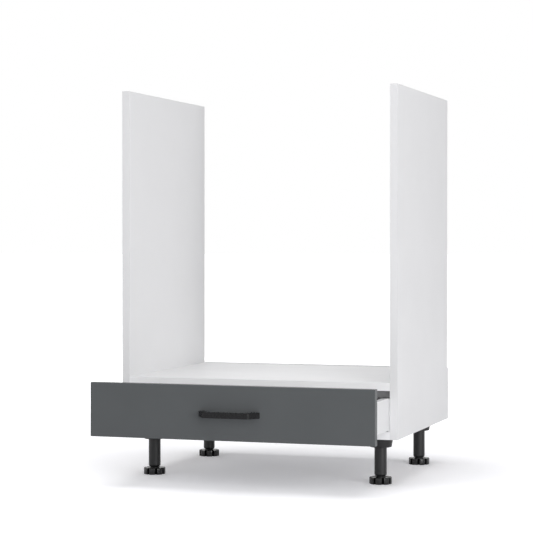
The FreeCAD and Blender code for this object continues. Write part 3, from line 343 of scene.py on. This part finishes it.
def white_coat(sketch, tint):
    """Colour, roughness and fine peel of a coated white board."""
    face = sketch.shade(tint, low=0.996, high=1.003, scale=5.0)
    rough = sketch.spread(sketch.noise(14.0, detail=4.0), 0.44, 0.54)
    peel = sketch.noise(1400.0, detail=2.0)
    return face, rough, peel


def melamine(name, tint, bare_axis=None):
    """White board. Where a bare axis is given, faces that don't look along it show pressed chips."""
    sketch = NodeSketch(name)
    face, rough, peel = white_coat(sketch, tint)
    if bare_axis is None:
        return sketch.finish(face, rough, sketch.bump(peel, PEEL_DEPTH), Specular_IOR_Level=BOARD_GLOSS)
    along = sketch.reckon("ABSOLUTE", sketch.facing(bare_axis))
    bare = sketch.reckon("LESS_THAN", along, FACING)
    chips, height = chip_pattern(sketch)
    base = sketch.mix(bare, face, chips)
    rougher = sketch.between(bare, rough, CHIP_ROUGHNESS)
    depth = sketch.spread(bare, PEEL_DEPTH, CHIP_DEPTH, start=0, stop=1)
    relief = sketch.bump(sketch.between(bare, peel, height), depth)
    return sketch.finish(base, rougher, relief, Specular_IOR_Level=BOARD_GLOSS)


def board_with_shaded_band(name, tint, band):
    """White drawer board whose upper edge carries a grey band; the band's grey is painted shade on that
    edge.
    """
    sketch = NodeSketch(name)
    face, rough, peel = white_coat(sketch, tint)
    strip = sketch.shade(band, low=0.95, high=1.05, scale=40.0)
    # Faces looking up get the grey band: painted shade on the upper edge.
    top = sketch.reckon("GREATER_THAN", sketch.facing(Z), FACING)
    base = sketch.mix(top, face, strip)
    return sketch.finish(base, rough, sketch.bump(peel, PEEL_DEPTH), Specular_IOR_Level=BOARD_GLOSS)


def chip_pattern(sketch):
    """Light and dark chips pressed together, and their relief."""
    grey = sketch.cells(420.0)
    base = sketch.tints(sketch.spread(grey, 0, 1, start=0.1, stop=0.9), tone("chips"), low=0.55, high=1.5)
    height = sketch.reckon("ADD", grey, sketch.noise(1800.0))
    return base, height


def front_foil(name, tint):
    """Matte anthracite foil with a very fine print."""
    sketch = NodeSketch(name)
    base = sketch.shade(tint, low=0.97, high=1.03, scale=9.0)
    rough = sketch.spread(sketch.noise(30.0, detail=5.0), 0.38, 0.46)
    grain = sketch.bump(sketch.noise(2600.0, detail=2.0), PLASTIC_GRAIN)
    return sketch.finish(base, rough, grain, Specular_IOR_Level=0.1)


def powder_coat(name, tint, rough, gloss):
    """Powder coat with its fine pebbled skin, and with rough as the limits of its roughness."""
    sketch = NodeSketch(name)
    base = sketch.shade(tint, low=0.85, high=1.2, scale=60.0)
    dull = sketch.spread(sketch.noise(400.0), *rough)
    skin = sketch.bump(sketch.noise(3200.0, detail=2.0), METAL_GRAIN)
    return sketch.finish(base, dull, skin, Specular_IOR_Level=gloss)


def moulded(name, tint, rough, gloss=0.25):
    """Moulded plastic with faint flow marks and a fine spark-eroded grain."""
    sketch = NodeSketch(name)
    flow = sketch.noise(40.0, detail=4.0, stretch=(1.0, 1.0, 0.25))
    base = sketch.tints(sketch.spread(flow, 0, 1), tint, low=0.88, high=1.15)
    dull = sketch.spread(sketch.noise(160.0), *rough)
    skin = sketch.bump(sketch.noise(2200.0, detail=2.0), PLASTIC_GRAIN)
    return sketch.finish(base, dull, skin, Specular_IOR_Level=gloss)


def galvanised(name, tint):
    """Zinc-coated sheet steel with soft spangles."""
    sketch = NodeSketch(name)
    spangle = sketch.cells(160.0)
    base = sketch.tints(spangle, tint, low=0.86, high=1.08)
    rough = sketch.spread(spangle, 0.3, 0.42, start=0.0, stop=1.0)
    scratch = sketch.bump(sketch.noise(500.0, stretch=(4.0, 0.15, 4.0)), METAL_GRAIN)
    return sketch.finish(base, rough, scratch, Metallic=1.0)


def plated(name, tint, rough=(0.22, 0.36)):
    """Plated or cast metal with small tarnish."""
    sketch = NodeSketch(name)
    base = sketch.shade(tint, low=0.82, high=1.08, scale=220.0)
    dull = sketch.spread(sketch.noise(350.0, detail=4.0), *rough)
    tooling = sketch.bump(sketch.noise(1500.0, detail=2.0), METAL_GRAIN)
    return sketch.finish(base, dull, tooling, Metallic=1.0)


def beech_wood(name, tint):
    """Pale wood with fine fibres along the carcass dowels."""
    sketch = NodeSketch(name)
    fibre = sketch.noise(900.0, detail=4.0, stretch=(0.08, 1.0, 1.0))
    base = sketch.tints(sketch.spread(fibre, 0, 1), tint, low=0.75, high=1.2)
    return sketch.finish(base, sketch.spread(fibre, 0.55, 0.75), sketch.bump(fibre, depth=0.0001))


def dress(material, *names):
    """Gives CAD nodes a material."""
    for name in names:
        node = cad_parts[name]
        node.data.materials.clear()
        node.data.materials.append(material)


def soften(width, *names):
    """Rounds the sharp edges of CAD nodes a little."""
    for name in names:
        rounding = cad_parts[name].modifiers.new("Arris", "BEVEL")
        rounding.width = width
        rounding.segments = ARRIS_STEPS
        rounding.limit_method = "ANGLE"
        rounding.angle_limit = SHARP_ANGLE
        rounding.harden_normals = True


def centre(name):
    """The middle of a CAD node's box."""
    low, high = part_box(name)
    return (low + high) / 2


def added(name, mesh, material, body, smooth=True):
    """Puts a new piece in the scene."""
    made = bpy.data.objects.new(name, mesh)
    bpy.context.scene.collection.objects.link(made)
    mesh.materials.append(material)
    for face in mesh.polygons:
        face.use_smooth = smooth
    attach(made, body)
    return made


def piece(name, mesh, material, body, slot, *nodes, smooth=True):
    """Puts a new piece in the scene in place of the CAD nodes that are named."""
    made = added(name, mesh, material, body, smooth)
    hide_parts(*nodes)
    return made


def ringed_mesh(build, rings, close_low=True, close_high=True):
    """Joins rings of points by quads, and closes the ends with fans."""
    loops = [[build.verts.new(p) for p in ring] for ring in rings]
    count = len(loops[0])
    for low, high in zip(loops, loops[1:]):
        for i in range(count):
            j = (i + 1) % count
            build.faces.new((low[i], low[j], high[j], high[i]))
    for close, loop in ((close_low, loops[0][::-1]), (close_high, loops[-1])):
        if close:
            middle = build.verts.new(sum((v.co for v in loop), Vector()) / count)
            for i in range(count):
                build.faces.new((loop[i], loop[(i + 1) % count], middle))
    return loops


def lathe_rings(profile, count, reshape=None):
    """Rings of points for a profile of radius and height."""
    rings = []
    for radius, height in profile:
        ring = []
        for i in range(count):
            turn = 2 * math.pi * i / count
            reach = reshape(height, turn) if reshape else radius
            ring.append(Vector((reach * math.cos(turn), reach * math.sin(turn), height)))
        rings.append(ring)
    return rings


def thread_rings(root, crest, pitch, low, high, count, steps):
    """Rings of a round bar with a right-hand thread between two heights."""
    total = max(2, round((high - low) / pitch * steps))
    # Half of the crest, a flank and the run-out at each end, in shares of the pitch
    crest_half, flank, runout = 0.15, 0.25, 0.5

    def wave(height, turn):
        off_crest = abs((height / pitch - turn / (2 * math.pi)) % 1 - 0.5)
        ridge = min(1, max(0, 1 + (crest_half - off_crest) / flank))
        fade = min(1, (height - low) / (runout * pitch), (high - height) / (runout * pitch))
        return root + (crest - root) * ridge * max(0, fade)

    profile = [(root, low + (high - low) * i / total) for i in range(total + 1)]
    return lathe_rings(profile, count, wave)


def mesh_from(name, build):
    """Ends a mesh under construction."""
    bmesh.ops.recalc_face_normals(build, faces=build.faces)
    mesh = bpy.data.meshes.new(name)
    build.to_mesh(mesh)
    build.free()
    return mesh


def pan_head(radius, height):
    """Profile of a domed screw head over z = 0."""
    return [(u * radius, v * height) for u, v in DOME]


def sunk_head(radius, depth, shank):
    """Profile of a countersunk screw head that ends at z = 0."""
    return [(shank, -depth), (radius, -SUNK_RIM), (SUNK_EDGE * radius, 0), (SUNK_FLAT * radius, 0)]


def crossed_head(build, profile, recess_reach, recess_half, recess_depth):
    """A screw head of a profile, open below, with a cross recess that narrows downwards in its top."""
    rim, height = profile[-1]
    loops = ringed_mesh(build, lathe_rings(profile, SCREW_SIDES), False, False)
    widest, narrowing = 0.88 * rim, 0.55
    near, far = recess_half, min(recess_reach, widest)
    corner = [(near, far), (near, near), (far, near)]
    outline = []
    for quarter in range(4):
        spin = Matrix.Rotation(-quarter * math.pi / 2, 3, "Z")
        outline += [spin @ Vector((x, y, height)) for x, y in corner]
    bottom = [Vector((narrowing * p.x, narrowing * p.y, height - recess_depth)) for p in outline]
    cross = [build.verts.new(p) for p in outline]
    deep = [build.verts.new(p) for p in bottom]
    brim = loops[-1]
    edges = [build.edges.get(pair) for pair in zip(brim, brim[1:] + brim[:1])]
    for i in range(len(cross)):
        j = (i + 1) % len(cross)
        edges.append(build.edges.new((cross[i], cross[j])))
        build.faces.new((cross[i], deep[i], deep[j], cross[j]))
    build.faces.new(deep)
    bmesh.ops.triangle_fill(build, use_beauty=True, edges=edges)
    return loops[0]


def screw_mesh(name, profile, shank, reach):
    """One wood screw: its head has a profile near z = 0, and its thread goes down from there."""
    build = bmesh.new()
    head = max(radius for radius, _ in profile)
    low, high = profile[0][1], profile[-1][1]
    under = crossed_head(
        build, profile, recess_reach=0.55 * head, recess_half=0.22 * head, recess_depth=0.6 * (high - low)
    )
    neck = [[v.co.copy() for v in under]]
    neck += lathe_rings([(shank, low - HAIR), (shank, low - SCREW_NECK)], SCREW_SIDES)
    root, pitch = 0.72 * shank, details().screw_pitch
    thread = thread_rings(root, shank, pitch, -reach, low - THREAD_START, SCREW_SIDES, steps=6)
    tip_share, tip_drop = 0.35, Vector((0, 0, -reach - 0.6 * shank))
    tip = [[tip_share * p.xy.to_3d() + tip_drop for p in thread[0]]]
    ringed_mesh(build, neck + thread[::-1] + tip, False, True)
    bmesh.ops.remove_doubles(build, verts=build.verts, dist=WELD)
    return mesh_from(name, build)


def solids_of(name):
    """The separate solids of a CAD node, as lowest and highest corners."""
    build = bmesh.new()
    build.from_mesh(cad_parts[name].data)
    bmesh.ops.remove_doubles(build, verts=build.verts, dist=WELD)
    left, boxes = set(build.verts), []
    while left:
        stack, found = [left.pop()], []
        while stack:
            vert = stack.pop()
            found.append(vert.co.copy())
            for edge in vert.link_edges:
                other = edge.other_vert(vert)
                if other in left:
                    left.remove(other)
                    stack.append(other)
        low = Vector([min(p[i] for p in found) for i in range(3)])
        high = Vector([max(p[i] for p in found) for i in range(3)])
        boxes.append((low, high))
    build.free()
    return sorted(boxes, key=lambda box: tuple(round(c, 5) for c in box[0]))


def screws(node, body, material, head_height, axis, sign, sunk=False):
    """Draws every screw of a CAD node with its recess and thread.

    They are driven along sign times axis, or outwards along axis where sign is zero.
    """
    together = bmesh.new()
    proud = 0 if sunk else head_height
    across = Y if axis == X else X
    for low, high in solids_of(node):
        seat = (low + high) / 2
        way = sign or math.copysign(1, seat[axis])
        drive = Vector([way if i == axis else 0 for i in range(3)])
        turn = UP.rotation_difference(-drive).to_matrix().to_4x4()
        head = (high[across] - low[across]) / 2
        total = high[axis] - low[axis]
        seat[axis] = (low[axis] + proud) if way > 0 else (high[axis] - proud)
        shank = SMALL_SHANK if head < SMALL_HEAD else LARGE_SHANK
        profile = sunk_head(head, head_height, shank) if sunk else pan_head(head, head_height)
        mesh = screw_mesh(node, profile, shank, total - proud - shank)
        mesh.transform(Matrix.Translation(seat) @ turn)
        together.from_mesh(mesh)
        bpy.data.meshes.remove(mesh)
    mesh = mesh_from(node + "_mesh", together)
    return piece(node + "_crossed", mesh, material, body, "fastener_steel", node)


class CABINET_OT_boards(bpy.types.Operator):
    """Finish the carcass boards and their edge bands, and draw the guide strips beside the drawer."""

    bl_idname = "cabinet.boards"
    bl_label = "Carcass boards"

    def execute(self, context):
        sides = [f"{side}_side_panel" for side in SIDES]
        levels = ["bottom_panel", "oven_shelf"]
        dress(melamine("white_side_board", tone("board"), X), *sides)
        dress(melamine("white_level_board", tone("board"), Z), *levels)
        dress(melamine("white_back_board", tone("board")), "back_panel")
        side_bands = [f"{side}_side_edge_band" for side in SIDES]
        level_bands = [f"{name}_edge_band" for name in levels]
        dress(melamine("white_side_band", tone("band")), *side_bands)
        # Painted light: a whiter copy of the white board lifts the shade on the shelf's and bottom's edges
        # and on the guide strips.
        lightened_white = melamine("white_level_band", tone("level_band"))
        dress(lightened_white, *level_bands)
        soften(details().arris, *side_bands, *level_bands)
        for side in SIDES:
            self.guide_strip(side, lightened_white)
        return {"FINISHED"}

    def guide_strip(self, side, material):
        """A slim strip with a rounded nose in the gap beside the drawer, nearly as high as its side; its
        whiter band colour is painted light over the gap's shade.
        """
        sizes = details()
        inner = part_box(f"{side}_side_panel")[0 if side == "right" else 1].x
        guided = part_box(f"{side}_drawer_side")[1 if side == "right" else 0].x
        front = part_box("bottom_panel")[0].y + sizes.guide_setback
        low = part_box("bottom_panel")[1].z
        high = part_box(f"{side}_drawer_side")[1].z - sizes.guide_drop
        gap = inner - guided
        start, width, depth = guided + GUIDE_ROOM * gap, GUIDE_WIDTH * gap, sizes.guide_depth
        nose = [(start + u * width, front + v * depth) for u, v in GUIDE_NOSE]
        rings = [[Vector((x, y, level)) for x, y in nose] for level in (low, high)]
        build = bmesh.new()
        ringed_mesh(build, rings)
        mesh = mesh_from(f"{side}_guide_mesh", build)
        added(f"{side}_guide_strip", mesh, material, "carcass", smooth=False)


class CABINET_OT_shelf_rail(bpy.types.Operator):
    """Draw a bent grey sheet, shaped as a steel rail, under the shelf's front edge over the drawer; its
    grey is painted shade for the shaded inside behind it.
    """

    bl_idname = "cabinet.shelf_rail"
    bl_label = "Shelf rail"

    def execute(self, context):
        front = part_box("bottom_panel")[0].y + details().rail_setback
        end_gap = 0.0004
        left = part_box("left_side_panel")[1].x + end_gap
        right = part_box("right_side_panel")[0].x - end_gap
        section = self.section()
        rings = [[Vector((x, front + y, z)) for y, z in section] for x in (left, right)]
        build = bmesh.new()
        ringed_mesh(build, rings, False, False)
        for ring in rings:
            build.faces.new([build.verts.new(p) for p in ring])
        bmesh.ops.remove_doubles(build, verts=build.verts, dist=WELD)
        mesh = mesh_from("shelf_rail_mesh", build)
        # Painted shade: a grey coat on a sheet put where the inside under the shelf lies in shade.
        steel = powder_coat("grey_rail_coat", tone("rail"), rough=(0.42, 0.52), gloss=0.3)
        piece("shelf_rail", mesh, steel, "carcass", "runner_steel", smooth=False)
        return {"FINISHED"}

    def section(self):
        """Depth and height of the points round the rail: its flange, its face and its folded lower edge."""
        sizes = details()
        seat_gap = 0.00002
        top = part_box("oven_shelf")[0].z - seat_gap
        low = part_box("right_drawer_side")[1].z + sizes.rail_clearance
        sheet, flange, hem = sizes.rail_sheet, sizes.rail_flange, low + sizes.rail_hem
        under = top - sheet
        # Reach of the bend under the shelf and of its middle point, outside and inside the sheet
        bend, bend_middle = 0.0016, 0.0005
        inner_bend, inner_middle = 0.002, sheet + 0.0003
        outside = [(flange, top), (bend, top), (bend_middle, top - bend_middle), (0.0, top - bend)]
        fold = [(0.0, low + sheet), (sheet / 3, low + sheet / 4), (sheet, low)]
        fold += [(sheet * 5 / 3, low + sheet / 4), (sheet * 2, low + sheet), (sheet * 2, hem), (sheet, hem)]
        inside = [(sheet, top - inner_bend), (inner_middle, top - inner_middle)]
        inside += [(inner_bend, under), (flange, under)]
        return outside + fold + inside


class CABINET_OT_fittings(bpy.types.Operator):
    """Finish the cams, bolts and dowels of carcass and drawer, and draw the carcass screws."""

    bl_idname = "cabinet.fittings"
    bl_label = "Cabinet fittings"

    def execute(self, context):
        dress(plated("cast_zinc", tone("zinc"), rough=(0.38, 0.52)), "carcass_cams", "drawer_cams")
        steel = plated("plated_steel", tone("screw"))
        dress(steel, "carcass_cam_bolts", "drawer_cam_bolts")
        dress(beech_wood("beech_dowel", tone("beech")), "carcass_dowels", "drawer_dowels")
        screws("leg_screws", "carcass", steel, head_height=0.002, axis=Z, sign=1)
        screws("back_panel_screws", "carcass", steel, head_height=0.0022, axis=Y, sign=-1, sunk=True)
        return {"FINISHED"}


class CABINET_OT_legs(bpy.types.Operator):
    """Finish the leg sockets and columns, and draw the threaded stems and lobed pads."""

    bl_idname = "cabinet.legs"
    bl_label = "Adjustable legs"

    def execute(self, context):
        # Painted shade: the slits get a darker copy of the leg's plastic.
        dark = tuple(SLIT_PAINTED_SHADE * c for c in tone("leg"))
        plastic = moulded("black_leg_plastic", tone("leg"), rough=(0.3, 0.4), gloss=0.28)
        glossy = moulded("black_pad_plastic", tone("leg"), rough=(0.2, 0.3), gloss=0.35)
        slit_shade_matte = moulded("black_slit_plastic", dark, rough=(0.75, 0.85), gloss=0.05)
        for corner in CORNERS:
            dress(plastic, f"leg_socket_{corner}", f"leg_column_{corner}")
            self.stem(corner, plastic)
            self.pad(corner, glossy, slit_shade_matte)
        return {"FINISHED"}

    def stem(self, corner, plastic):
        """The threaded stem over its spigot."""
        sizes = details()
        node = f"foot_stem_{corner}"
        low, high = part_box(node)
        crest = (high.x - low.x) / 2
        root = crest - sizes.thread_depth
        spigot, seat = sizes.spigot_radius, low.z + sizes.spigot_height
        lead, lead_radius = 0.001, 0.8 * spigot
        # Heights over the seat at which the collar's chamfer, the collar and its run-out end
        chamfer, collar, runout = 0.0004, 0.0012, 0.0018
        thread_low, thread_high = seat + 0.0019, high.z - 0.0016
        tip_low, tip_radius = high.z - 0.0012, root - 0.001
        profile = [(lead_radius, low.z), (spigot, low.z + lead), (spigot, seat - HAIR)]
        profile += [(crest - chamfer, seat), (crest, seat + chamfer)]
        profile += [(crest, seat + collar), (root, seat + runout)]
        rings = lathe_rings(profile, STEM_SIDES)
        rings += thread_rings(
            root, crest, sizes.thread_pitch, thread_low, thread_high, STEM_SIDES, STEM_STEPS
        )
        rings += lathe_rings([(root, tip_low), (tip_radius, high.z)], STEM_SIDES)
        build = bmesh.new()
        ringed_mesh(build, rings)
        mesh = mesh_from(f"stem_{corner}_mesh", build)
        middle = centre(f"leg_column_{corner}")
        mesh.transform(Matrix.Translation((middle.x, middle.y, 0)))
        piece(f"threaded_stem_{corner}", mesh, plastic, f"stem_{corner}", "leg_plastic", node)

    def pad(self, corner, plastic, slit_shade_matte):
        """The dished pad: lobes with rounded corners between straight slits."""
        node = f"foot_pad_{corner}"
        low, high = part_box(node)
        height = high.z - low.z
        edge, out = pad_edge(slit_turn(corner))

        def rim(inset, level):
            return [Vector((p.x - inset * n.x, p.y - inset * n.y, level)) for p, n in zip(edge, out)]

        def circle(radius, level):
            return [Vector((radius * p.x / p.length, radius * p.y / p.length, level)) for p in edge]

        rings = [circle(radius, level) for radius, level in PAD_SOLE]
        rings += [rim(inset, level) for inset, level in PAD_ROUND]
        rings += [rim(0.0, height / 2)]
        rings += [rim(inset, height - depth) for inset, depth in reversed(PAD_ROUND)]
        rings += [circle(radius, height - depth) for radius, depth in PAD_DISH + PAD_MOUTH]
        rings += [circle(*PAD_BORE)]
        build = bmesh.new()
        ringed_mesh(build, rings)
        mesh = mesh_from(f"pad_{corner}_mesh", build)
        middle = centre(f"leg_column_{corner}")
        mesh.transform(Matrix.Translation((middle.x, middle.y, low.z)))
        piece(f"lobed_pad_{corner}", mesh, plastic, f"pad_{corner}", "leg_plastic", node)
        mesh.materials.append(slit_shade_matte)
        self.paint_slit_shade(mesh, middle)

    def paint_slit_shade(self, mesh, middle):
        """Gives the upright faces in a pad's slits its second material, a darker plastic that paints the
        slits' shade.
        """
        sizes = details()
        inner = sizes.pad_radius - sizes.slit_depth - SLIT_TOLERANCE
        outer = sizes.pad_radius - PAD_ROUND[0][0]
        for face in mesh.polygons:
            upright = abs(face.normal.z) < 0.5
            if upright and inner < (face.center - middle).xy.length < outer:
                face.material_index = 1


def pad_edge(turn):
    """Points round a foot pad's edge, and the directions out of it."""
    sizes = details()
    radius, half = sizes.pad_radius, sizes.slit_width / 2
    floor = radius - sizes.slit_depth
    sector = 2 * math.pi / sizes.lobes
    side = [(floor + u, v * half) for u, v in SLIT_END]
    side += [(radius - u, half + v) for u, v in LOBE_CORNER]
    start = math.asin((half + LOBE_CORNER[0][0]) / radius)
    for i in range(LOBE_STEPS + 1):
        along = start + (sector / 2 - start) * i / LOBE_STEPS
        side.append((radius * math.cos(along), radius * math.sin(along)))
    slit = [Vector((u, -v)) for u, v in side[:0:-1]] + [Vector((u, v)) for u, v in side[:-1]]
    edge = []
    for lobe in range(sizes.lobes):
        edge += [Matrix.Rotation(turn + lobe * sector, 2) @ p for p in slit]
    out = []
    for i, _ in enumerate(edge):
        step = edge[(i + 1) % len(edge)] - edge[i - 1]
        out.append(Vector((step.y, -step.x)).normalized())
    return edge, out


def slit_turn(corner):
    """The direction of a slit of a foot pad, read from the solid's upper corners at the slits' floors."""
    sizes = details()
    node = f"foot_pad_{corner}"
    middle, column = centre(node), centre(f"leg_column_{corner}")
    corner_reach = math.hypot(sizes.pad_radius - sizes.slit_depth, sizes.slit_width / 2)
    found = []
    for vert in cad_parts[node].data.vertices:
        away = (vert.co - column).xy
        if abs(away.length - corner_reach) < SLIT_TOLERANCE and vert.co.z > middle.z:
            found.append(math.atan2(away.y, away.x))
    if not found:
        raise RuntimeError(f"no slit found in {node}")
    east = sum(math.cos(turn * sizes.lobes) for turn in found)
    north = sum(math.sin(turn * sizes.lobes) for turn in found)
    return math.atan2(north, east) / sizes.lobes % (2 * math.pi / sizes.lobes)


class CABINET_OT_runners(bpy.types.Operator):
    """Finish the runners, their carriages, rollers and screws, and the front catches."""

    bl_idname = "cabinet.runners"
    bl_label = "Runners and catches"

    def execute(self, context):
        sheet = galvanised("galvanised_sheet", tone("steel"))
        nylon = moulded("white_nylon", tone("nylon"), rough=(0.4, 0.52))
        ground = plated("ground_steel", tone("screw"), rough=(0.14, 0.24))
        housing = moulded("grey_catch_plastic", tone("catch"), rough=(0.42, 0.55))
        lever = moulded("light_lever_plastic", tone("lever"), rough=(0.42, 0.55))
        for side in SIDES:
            dress(sheet, f"{side}_cabinet_rail", f"{side}_drawer_rail")
            dress(nylon, f"{side}_roller_carriage")
            dress(ground, f"{side}_front_roller", f"{side}_rear_roller")
            dress(housing, f"{side}_catch_housing")
            dress(lever, f"{side}_catch_lever")
        steel = bpy.data.materials["plated_steel"]
        screws("rail_screws", "carcass", steel, head_height=0.0012, axis=X, sign=0)
        screws("catch_screws", "drawer", steel, head_height=0.002, axis=Y, sign=-1)
        return {"FINISHED"}


class CABINET_OT_drawer(bpy.types.Operator):
    """Finish the drawer's front, sides, back, bottom and bumpers."""

    bl_idname = "cabinet.drawer"
    bl_label = "Drawer"

    def execute(self, context):
        band, inside = tone("drawer_band_shade"), tone("lightened_drawer_inside")
        dress(front_foil("anthracite_foil", tone("front")), "drawer_front")
        board = board_with_shaded_band("white_drawer_board", tone("board"), band)
        dress(board, "left_drawer_side", "right_drawer_side")
        # Partly painted light: the drawer's back and bottom get the whiter inside colour, lifting the shade
        # inside the drawer.
        dress(board_with_shaded_band("white_drawer_back", inside, band), "drawer_back")
        dress(melamine("lacquered_hardboard", inside), "drawer_bottom")
        dress(moulded("clear_bumper", tone("bumper"), rough=(0.2, 0.3)), "drawer_bumpers")
        return {"FINISHED"}


class CABINET_OT_handle(bpy.types.Operator):
    """Finish the bow handle and draw its screws."""

    bl_idname = "cabinet.handle"
    bl_label = "Handle"

    def execute(self, context):
        coat = powder_coat("black_powder_coat", tone("handle"), rough=(0.24, 0.3), gloss=0.16)
        dress(coat, "drawer_handle")
        steel = bpy.data.materials["plated_steel"]
        screws("handle_screws", "drawer", steel, head_height=0.0026, axis=Y, sign=-1)
        return {"FINISHED"}


class CABINET_OT_stage(bpy.types.Operator):
    """Set up the floor, the light and the camera."""

    bl_idname = "cabinet.stage"
    bl_label = "Studio"

    def execute(self, context):
        studio = context.scene.cabinet_studio
        self.sky(context.scene, studio)
        self.floor(context.scene, studio)
        for name, spot, size, power, reflected in SOFTBOXES:
            self.lamp(context.scene, name, spot, size, getattr(studio, power), reflected)
        self.camera(context.scene, studio)
        context.scene.view_settings.view_transform = "Standard"
        return {"FINISHED"}

    def seen_directly(self, tree):
        """A value that is one for what the camera, a reflection or a clear piece shows, else zero."""
        path = tree.nodes.new("ShaderNodeLightPath").outputs
        total = path["Is Camera Ray"]
        for name in ("Is Glossy Ray", "Is Transmission Ray"):
            either = tree.nodes.new("ShaderNodeMath")
            either.operation = "MAXIMUM"
            tree.links.new(total, either.inputs[0])
            tree.links.new(path[name], either.inputs[1])
            total = either.outputs[0]
        return total

    def sky(self, scene, studio):
        """A dim white sky that is plain white where it is seen."""
        world = bpy.data.worlds.new("soft_sky")
        world.use_nodes = True
        tree = world.node_tree
        background = tree.nodes["Background"]
        background.inputs["Color"].default_value = (1, 1, 1, 1)
        power = tree.nodes.new("ShaderNodeMapRange")
        power.inputs["To Min"].default_value = studio.sky
        power.inputs["To Max"].default_value = 1.0
        tree.links.new(self.seen_directly(tree), power.inputs["Value"])
        tree.links.new(power.outputs[0], background.inputs["Strength"])
        scene.world = world

    def floor(self, scene, studio):
        """A pale floor that keeps the cabinet's shadow and turns white away from it. Its glow, seen by the
        camera and in reflections, is painted light: weak near a point under the cabinet and full far off,
        so the shade round the cabinet is partly painted.
        """
        build = bmesh.new()
        bmesh.ops.create_grid(build, x_segments=1, y_segments=1, size=FLOOR_REACH)
        mesh = mesh_from("floor_mesh", build)
        made = bpy.data.objects.new("studio_floor", mesh)
        scene.collection.objects.link(made)
        sketch = NodeSketch("pale_floor")
        tree = sketch.tree
        tree.nodes.remove(sketch.shader)
        paint = sketch.node("ShaderNodeBsdfDiffuse", {"Color": (*studio.floor, 1)})
        ends = {0: sketch.place, 1: tuple(studio.floor_middle)}
        # Painted light: a glow that is weaker by the cabinet, so the shade there is partly painted.
        away = sketch.node("ShaderNodeVectorMath", ends, operation="DISTANCE").outputs["Value"]
        white = sketch.spread(away, studio.floor_near, studio.floor_far, studio.white_from, studio.white_to)
        power = sketch.reckon("MULTIPLY", white, self.seen_directly(tree))
        glow = sketch.node("ShaderNodeEmission", {"Strength": power})
        both = sketch.node("ShaderNodeAddShader", {0: paint.outputs[0], 1: glow.outputs[0]})
        tree.links.new(both.outputs[0], tree.nodes["Material Output"].inputs["Surface"])
        mesh.materials.append(sketch.material)

    def lamp(self, scene, name, spot, size, watts, reflected):
        """A square softbox that looks at the cabinet's middle."""
        light = bpy.data.lights.new(name, "AREA")
        light.shape = "SQUARE"
        light.size = size
        light.energy = watts
        made = bpy.data.objects.new(name, light)
        made.location = spot
        made.rotation_euler = (LAMP_TARGET - Vector(spot)).to_track_quat("-Z", "Y").to_euler()
        made.visible_camera = False
        made.visible_glossy = reflected
        scene.collection.objects.link(made)

    def camera(self, scene, studio):
        """The camera at the photo's place and angle."""
        view = bpy.data.cameras.new("photo_camera")
        view.lens = studio.lens
        view.sensor_width = SENSOR_WIDTH
        view.clip_end = CAMERA_REACH
        made = bpy.data.objects.new("photo_camera", view)
        scene.collection.objects.link(made)
        made.location = studio.camera_at
        made.rotation_euler = (math.pi / 2 - studio.pitch, 0.0, studio.yaw)
        scene.camera = made


class CABINET_PT_panel(bpy.types.Panel):
    """Lists the cabinet's sizes, colours and steps."""

    bl_label = "Oven base cabinet"
    bl_idname = "CABINET_PT_panel"
    bl_space_type = "VIEW_3D"
    bl_region_type = "UI"
    bl_category = "Cabinet"

    def draw(self, context):
        column = self.layout.column()
        for group_name in GROUPS:
            group = getattr(context.scene, group_name)
            for name in group.__annotations__:
                column.prop(group, name)
        for step in STEPS:
            column.operator(step.bl_idname)


GROUPS = {
    "cabinet_finishes": CabinetFinishes,
    "cabinet_details": CabinetDetails,
    "cabinet_studio": CabinetStudio,
}
STEPS = (
    CABINET_OT_boards,
    CABINET_OT_shelf_rail,
    CABINET_OT_fittings,
    CABINET_OT_legs,
    CABINET_OT_runners,
    CABINET_OT_drawer,
    CABINET_OT_handle,
    CABINET_OT_stage,
)


def register():
    for group in GROUPS.values():
        bpy.utils.register_class(group)
    for name, group in GROUPS.items():
        setattr(bpy.types.Scene, name, PointerProperty(type=group))
    for step in STEPS:
        bpy.utils.register_class(step)
    bpy.utils.register_class(CABINET_PT_panel)


def unregister():
    bpy.utils.unregister_class(CABINET_PT_panel)
    for step in reversed(STEPS):
        bpy.utils.unregister_class(step)
    for name in GROUPS:
        delattr(bpy.types.Scene, name)
    for group in reversed(list(GROUPS.values())):
        bpy.utils.unregister_class(group)


def main():
    register()
    bpy.ops.cabinet.boards()
    bpy.ops.cabinet.shelf_rail()
    bpy.ops.cabinet.fittings()
    bpy.ops.cabinet.legs()
    bpy.ops.cabinet.runners()
    bpy.ops.cabinet.drawer()
    bpy.ops.cabinet.handle()
    bpy.ops.cabinet.stage()


if __name__ == "__main__":
    main()
